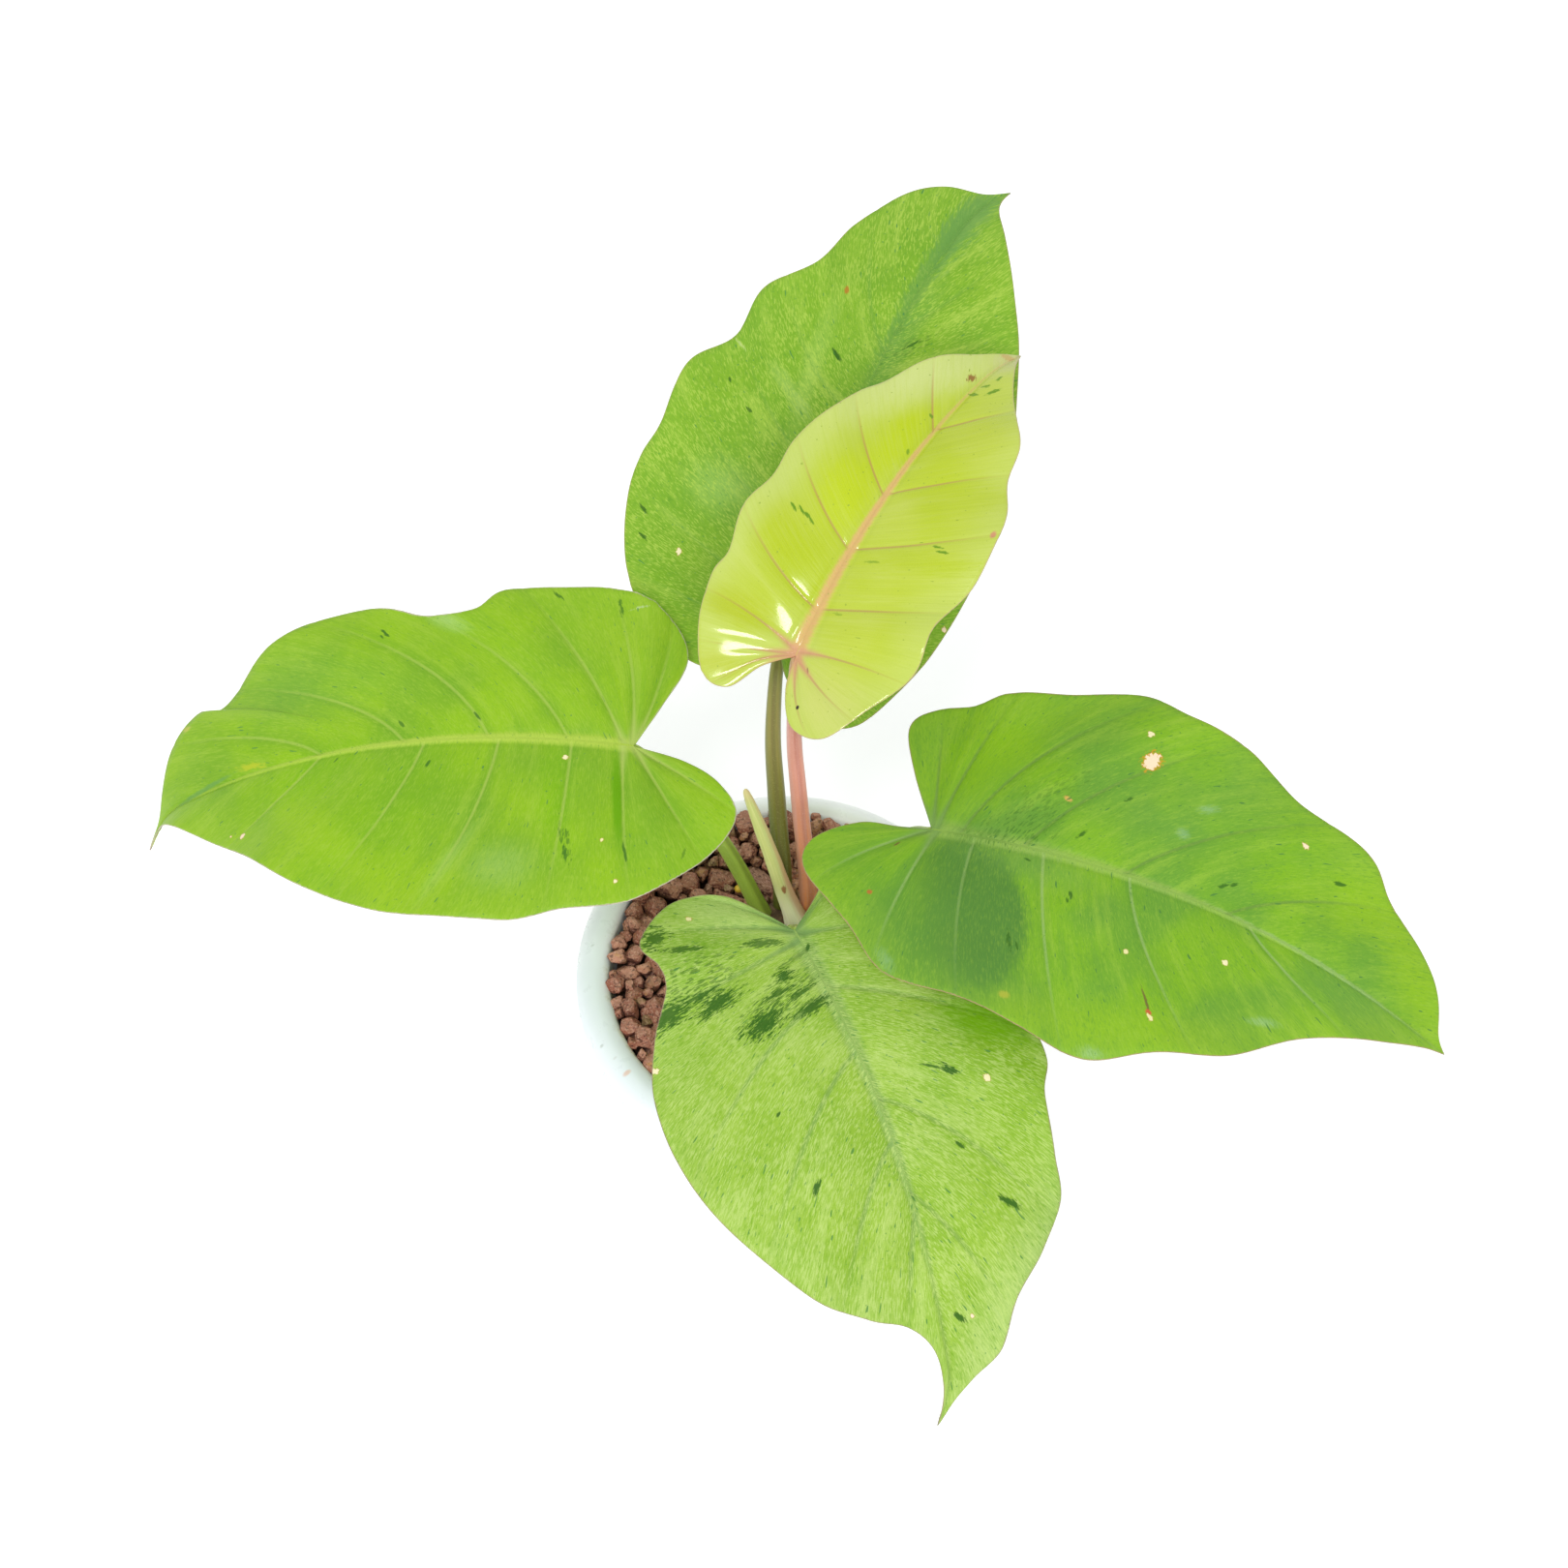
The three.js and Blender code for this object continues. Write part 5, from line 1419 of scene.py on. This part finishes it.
def scatter_stones(random):
    """Places of the stones: a hidden lower layer, then large, middle and small stones on top."""
    placed = []
    for count, small, large, closeness, levels, on_top in STONE_LAYERS:
        made = 0
        for _ in range(count * TRIES):
            if made == count:
                break
            size = random.uniform(small, large)
            z = random.uniform(*levels)
            angle = random.uniform(0, 2 * math.pi)
            spill = mix(NEAR_SPILL, FAR_SPILL, max(math.sin(angle), 0))
            reach = inner_radius(z) - size * 0.62 + spill
            place = reach * math.sqrt(random.uniform(0, 1))
            x, y = place * math.cos(angle), place * math.sin(angle)
            z += mix(NEAR_HEAP, FAR_HEAP, 0.5 + 0.5 * math.sin(angle)) * smooth(HEAP_START, reach, place)
            from_crown = math.hypot(x - CROWN_CENTRE[0], y - CROWN_CENTRE[1])
            if from_crown < CROWN_CLEARANCE + size * 0.8:
                continue
            if is_free(x, y, size, on_top, closeness, placed):
                placed.append((x, y, z, size, on_top))
                made += 1
    return placed


def gravel_pieces(material, bed_material):
    """The loose stones as two meshes, and the bed below them."""
    random = np.random.default_rng(11)
    balls = {fineness: ball_template(fineness) for fineness in (2, 3, 4)}
    kinds = {"gravel_stones": [], "gravel_chips": []}
    for x, y, z, size, on_top in scatter_stones(random):
        big = on_top and size > BIG_STONE
        directions, template = balls[4 if big else 3 if on_top else 2]
        stone = stone_points(directions, size * STONE_SWELL, random) + (x, y, z)
        tint = np.tile(random.uniform(size=3), (len(stone), 1))
        kind = "gravel_stones" if on_top and size > SMALL_STONE else "gravel_chips"
        kinds[kind].append((stone, template, tint))
    for name, stones in kinds.items():
        points, templates, tints = zip(*stones)
        starts = np.cumsum([0] + [len(stone) for stone in points])
        faces = np.vstack([template + start for template, start in zip(templates, starts)])
        piece = mesh_object(name, np.vstack(points), faces.tolist(), [material],
                            {"tint": np.vstack(tints)})
        piece.data.polygons.foreach_set("use_smooth", [False] * len(piece.data.polygons))
        settle(piece, "lava_gravel", "lava_gravel")
    low = FLOOR + 0.3
    profile = [(0, low), (20, low)]
    profile += [(inner_radius(z) - 0.35, z) for z in np.linspace(low, BED_TOP, 24)]
    profile += [(55, BED_TOP + 0.4), (36, BED_TOP), (0, BED_TOP - 0.3)]
    bed = turned_piece("gravel_bed", profile, 96, bed_material)
    settle(bed, "lava_gravel")


def stone_material(name, dark_share):
    """Lava rock: each stone has its own tone, with painted light on top and painted shade in the gaps.
    """
    look = Look(name)
    place = look.place()
    tone, kind, moss = look.parts(look.attribute("tint"))
    colour = look.wash((0.35, 0.122, 0.078), (0.57, 0.262, 0.182), tone, 0.1, 0.9)
    # A few brown and a few orange stones, and darker patches
    colour = look.wash(colour, (0.27, 0.16, 0.115), kind, 0.85, 0.9, 0.7)
    colour = look.wash(colour, (0.58, 0.3, 0.13), kind, 0.1, 0.05, 0.6)
    cloud = look.noise(place, 260.0, 4.0, 0.65)
    colour = look.wash(colour, (0.24, 0.095, 0.06), cloud, 0.42, 0.68, 0.6)
    # Some stones have a green film, some have rust
    film = look.times(look.step(moss, 0.86, 0.93), look.step(cloud, 0.35, 0.55))
    colour = look.blend(look.times(film, 0.65), colour, (0.22, 0.2, 0.07))
    rust = look.times(look.step(moss, 0.12, 0.06), look.step(cloud, 0.5, 0.62))
    colour = look.blend(look.times(rust, 0.7), colour, (0.66, 0.34, 0.1))
    # Pale grit and dark pores
    grit = look.noise(place, 1100.0, 3.0, 0.7)
    colour = look.wash(colour, (0.72, 0.44, 0.34), grit, 0.5, 0.64, 0.6)
    pores = look.noise(place, 700.0, 2.0, 0.6)
    colour = look.wash(colour, (0.07, 0.03, 0.02), pores, 0.44, 0.36, 0.8)
    # Painted light on the upward faces, painted shade on the faces below and between the stones
    upward = look.parts(look.node("ShaderNodeNewGeometry").outputs["Normal"])[2]
    colour = look.wash(colour, (0.76, 0.46, 0.36), upward, 0.6, 1.0, 0.22)
    colour = look.wash(colour, (0.09, 0.03, 0.02), upward, 0.6, -0.1, 0.8)
    height = look.parts(place)[2]
    colour = look.wash(colour, (0.04, 0.018, 0.012), height, 0.1195, 0.1145, 0.85)
    # Painted shade: dark_share darkens the whole surface, for the gravel bed in the shade under the
    # stones
    colour = look.blend(dark_share, colour, (0.05, 0.026, 0.018))
    normal = look.bump(grit, 0.0005, 0.6)
    normal = look.bump(look.step(pores, 0.3, 0.42), 0.0005, 0.5, normal)
    return look.finish(colour, 0.92, 0.25, normal)


# Crown

# Outline of the short stem: (height, share of its radius)
CROWN_FOOT = 86
CROWN_RADIUS = 12.3
CROWN_OUTLINE = [(0, 0.3), (2, 0.62), (8, 0.8), (20, 0.9), (28, 0.97), (34, 1.0), (38.5, 0.93),
                 (41.5, 0.75), (43, 0.45)]
# Dried scraps of sheath: (angle, distance from the middle, height)
SCRAPS = [(-58, 13.2, 9), (-20, 12.8, 7), (24, 12.6, 8), (75, 13, 10), (128, 12.8, 9),
          (176, 13.2, 8), (222, 13, 10), (262, 12.8, 8)]
SCRAP_FOOT = 114
SCRAP_ROWS = 12
SCRAP_COLUMNS = 9
SCRAP_THICKNESS = 0.28


def crown_pieces(material, scrap_material):
    """The short stem under the petioles, and the torn brown scraps of older sheaths round it."""
    levels, shares = flat_spline(CROWN_OUTLINE, 40).T
    line = np.array([(*CROWN_CENTRE, CROWN_FOOT + level) for level in levels])

    def section(share, angle):
        radius = CROWN_RADIUS * np.interp(share, np.linspace(0, 1, len(shares)), shares)
        ridge = 1 + 0.03 * np.sin(5 * angle + 8 * share) + 0.018 * np.sin(11 * angle + 30 * share)
        ridge = ridge - 0.05 * np.exp(-((share * 9) % 1.0 - 0.5) ** 2 / 0.02)
        return np.cos(angle) * radius * ridge, np.sin(angle) * radius * ridge

    crown = swept_piece("crown_stub", line, section, SHEATH_SIDES, material, (1.0, 0.0, 0.0))
    settle(crown, "crown_stem", "crown_stem")
    random = np.random.default_rng(5)
    for number, (angle, radius, height) in enumerate(SCRAPS):
        name = f"sheath_scrap_{number}"
        scrap = sheath_scrap(name, math.radians(angle), radius, height, random, scrap_material)
        settle(scrap, "crown_stem")


def sheath_scrap(name, angle, radius, height, random, material):
    """A curled, torn strip of dried sheath that stands against the crown."""
    width = random.uniform(0.28, 0.42)
    points = []
    for layer in (0, 1):
        for up in np.linspace(0, 1, SCRAP_ROWS):
            for aside in np.linspace(-0.5, 0.5, SCRAP_COLUMNS):
                torn = 1 - 0.35 * abs(math.sin(5 * aside + angle)) - 0.25 * abs(aside)
                turn = angle + 2 * aside * width * (1 - 0.55 * up ** 2) + 0.1 * up
                curl = 1.6 * up ** 2 + 0.35 * math.sin(7 * aside + 5 * up)
                out = radius - 0.5 + curl - SCRAP_THICKNESS * layer
                points.append((CROWN_CENTRE[0] + out * math.cos(turn),
                               CROWN_CENTRE[1] + out * math.sin(turn),
                               SCRAP_FOOT + (height + 6) * up * torn))
    half = SCRAP_ROWS * SCRAP_COLUMNS
    index = np.arange(half).reshape(SCRAP_ROWS, SCRAP_COLUMNS)
    faces = []
    for a in index[:-1, :-1].ravel().tolist():
        b, c, d = a + 1, a + 1 + SCRAP_COLUMNS, a + SCRAP_COLUMNS
        faces += [[a, b, c, d], [a + half, d + half, c + half, b + half]]
    border = np.concatenate([index[0], index[1:, -1], index[-1, -2::-1], index[-2:0:-1, 0]]).tolist()
    for a, b in zip(border[-1:] + border[:-1], border):
        faces.append([a, b, b + half, a + half])
    values = np.array(points)[:, [2, 0, 1]] * 0.1
    return closed_piece(name, points, faces, [material], {"stem": values})


def crown_material():
    look = Look("crown_bark")
    place = look.place()
    cloud = look.noise(place, 150.0, 4.0, 0.6)
    colour = look.wash((0.16, 0.1, 0.05), (0.07, 0.04, 0.024), cloud, 0.35, 0.65)
    grit = look.noise(place, 800.0, 3.0, 0.6)
    colour = look.wash(colour, (0.24, 0.15, 0.08), grit, 0.5, 0.7, 0.6)
    normal = look.bump(grit, 0.0006, 0.5)
    return look.finish(colour, 0.7, 0.3, normal)


def scrap_material():
    look = Look("dried_sheath")
    stem = look.attribute("stem")
    fibres = look.noise(stem, (0.4, 5.0, 5.0), 3.0, 0.6)
    colour = look.wash((0.5, 0.38, 0.2), (0.16, 0.085, 0.04), fibres, 0.38, 0.62)
    normal = look.bump(fibres, 0.0005, 0.5)
    return look.finish(colour, 0.75, 0.3, normal)


# Small grains of slow feed that lie between the stones

GRAIN_PLACES = [(-19.2, 37.5, 121.6), (33, -30, 120.5), (-42, -8, 120.2), (20, 52, 120.8)]
GRAIN_RADIUS = 1.7


def feed_grains(material):
    template, faces = ball_template(3)
    random = np.random.default_rng(3)
    points, all_faces = [], []
    for place in GRAIN_PLACES:
        dents = 1 + 0.04 * np.sin(template @ random.normal(size=3) * 5)
        points.append(template * dents[:, None] * GRAIN_RADIUS + place)
        all_faces.append(faces + len(template) * len(all_faces))
    piece = mesh_object("feed_grains", np.vstack(points), np.vstack(all_faces).tolist(), [material])
    settle(piece, "lava_gravel")


def feed_material():
    look = Look("yellow_grain")
    place = look.place()
    cloud = look.noise(place, 700.0, 3.0)
    colour = look.wash((0.75, 0.46, 0.03), (0.85, 0.62, 0.08), cloud, 0.35, 0.65)
    return look.finish(colour, 0.4, 0.4)


# Camera, floor and light

LENS = 60
SENSOR = 36
CAMERA_PLACE = (-0.0004, -0.5149, 1.0517)
CAMERA_TILT = 57
STUDIO_REACH = 6.0
LIGHT_TARGET = Vector((0, 0, 0.15))
# Lights: direction from the target, distance, diameter, watts, and whether it shows in gloss
LIGHTS = {
    "front_softbox": ((0.12, -0.62, 0.78), 3.2, 1.3, 12.0, False),
    "low_softbox": ((0.1, -0.8, 0.55), 2.6, 1.0, 14.0, False),
    "left_softbox": ((-0.62, 0.3, 0.72), 3.0, 1.0, 12.0, False),
    "window": ((-0.11, -0.44, 0.9), 2.4, 0.45, 14.0, True),
}


def add_camera():
    """The camera of the photo, which looks down by CAMERA_TILT degrees."""
    data = bpy.data.cameras.new("camera")
    data.lens = LENS
    data.sensor_width = SENSOR
    data.clip_start = 0.01
    data.clip_end = 30
    camera = add_object("camera", data)
    camera.location = CAMERA_PLACE
    camera.rotation_euler = (math.radians(90 - CAMERA_TILT), 0, 0)
    bpy.context.scene.camera = camera


def add_floor():
    look = Look("pale_floor")
    soft = look.noise(look.place(), 3.0, 2.0)
    colour = look.wash((0.93, 0.93, 0.93), (0.95, 0.95, 0.95), soft, 0.3, 0.7)
    look.shader.inputs["Emission Color"].default_value = (1.0, 1.0, 1.0, 1.0)
    look.shader.inputs["Emission Strength"].default_value = 0.22
    corners = [(x * STUDIO_REACH, y * STUDIO_REACH, 0) for x, y in ((-1, -1), (1, -1), (1, 1), (-1, 1))]
    data = bpy.data.meshes.new("floor")
    data.from_pydata(corners, [], [(0, 1, 2, 3)])
    data.materials.append(look.finish(colour, 0.9, 0.0))
    add_object("floor", data)


def add_lighting():
    world = bpy.data.worlds.new("studio")
    world.use_nodes = True
    background = world.node_tree.nodes["Background"]
    background.inputs["Color"].default_value = (0.97, 0.985, 1.0, 1.0)
    background.inputs["Strength"].default_value = 0.75
    bpy.context.scene.world = world
    for name, (direction, distance, size, power, shines) in LIGHTS.items():
        data = bpy.data.lights.new(name, "AREA")
        data.shape = "DISK"
        data.size = size
        data.energy = power
        light = add_object(name, data)
        away = Vector(direction).normalized() * distance
        light.location = LIGHT_TARGET + away
        light.rotation_euler = away.to_track_quat("Z", "Y").to_euler()
        light.visible_glossy = shines


bpy.context.scene.view_settings.view_transform = "Standard"
add_camera()
add_floor()
add_lighting()

for number, leaf_name in enumerate(LEAVES):
    skins = [leaf_top(leaf_name), leaf_under(leaf_name), leaf_margin(leaf_name)]
    leaf_piece(leaf_name, 17 + 10 * number, skins)

STEM_SKINS = {
    "petiole_green": stem_material(
        "green_petiole",
        [(0.0, (0.45, 0.54, 0.13)), (0.2, (0.34, 0.48, 0.06)), (0.9, (0.39, 0.56, 0.075))],
        (0.22, 0.33, 0.04), (0.2, 0.29, 0.04), (0.44, 0.57, 0.13)),
    "petiole_olive": stem_material(
        "olive_petiole",
        [(0.0, (0.07, 0.08, 0.005)), (0.35, (0.12, 0.13, 0.012)), (0.75, (0.28, 0.25, 0.07)),
         (1.0, (0.28, 0.3, 0.07))],
        (0.155, 0.18, 0.035), (0.14, 0.12, 0.035), (0.31, 0.3, 0.1)),
    "petiole_pink": stem_material(
        "pink_petiole",
        [(0.0, (0.9, 0.34, 0.13)), (0.3, (0.78, 0.3, 0.15)), (0.55, (0.66, 0.28, 0.19)),
         (0.85, (0.6, 0.29, 0.24)), (1.0, (0.64, 0.42, 0.22))],
        (0.66, 0.36, 0.32), (0.5, 0.17, 0.13), (0.74, 0.44, 0.36)),
}
for stem_name, stem in PETIOLES.items():
    petiole_piece(stem_name, STEM_SKINS[stem["slot"]])
cataphyll_piece(cataphyll_material())
crown_pieces(crown_material(), scrap_material())
gravel_pieces(stone_material("lava_stone", 0.0), stone_material("gravel_shade", 0.75))
feed_grains(feed_material())
pot_piece(pot_material())
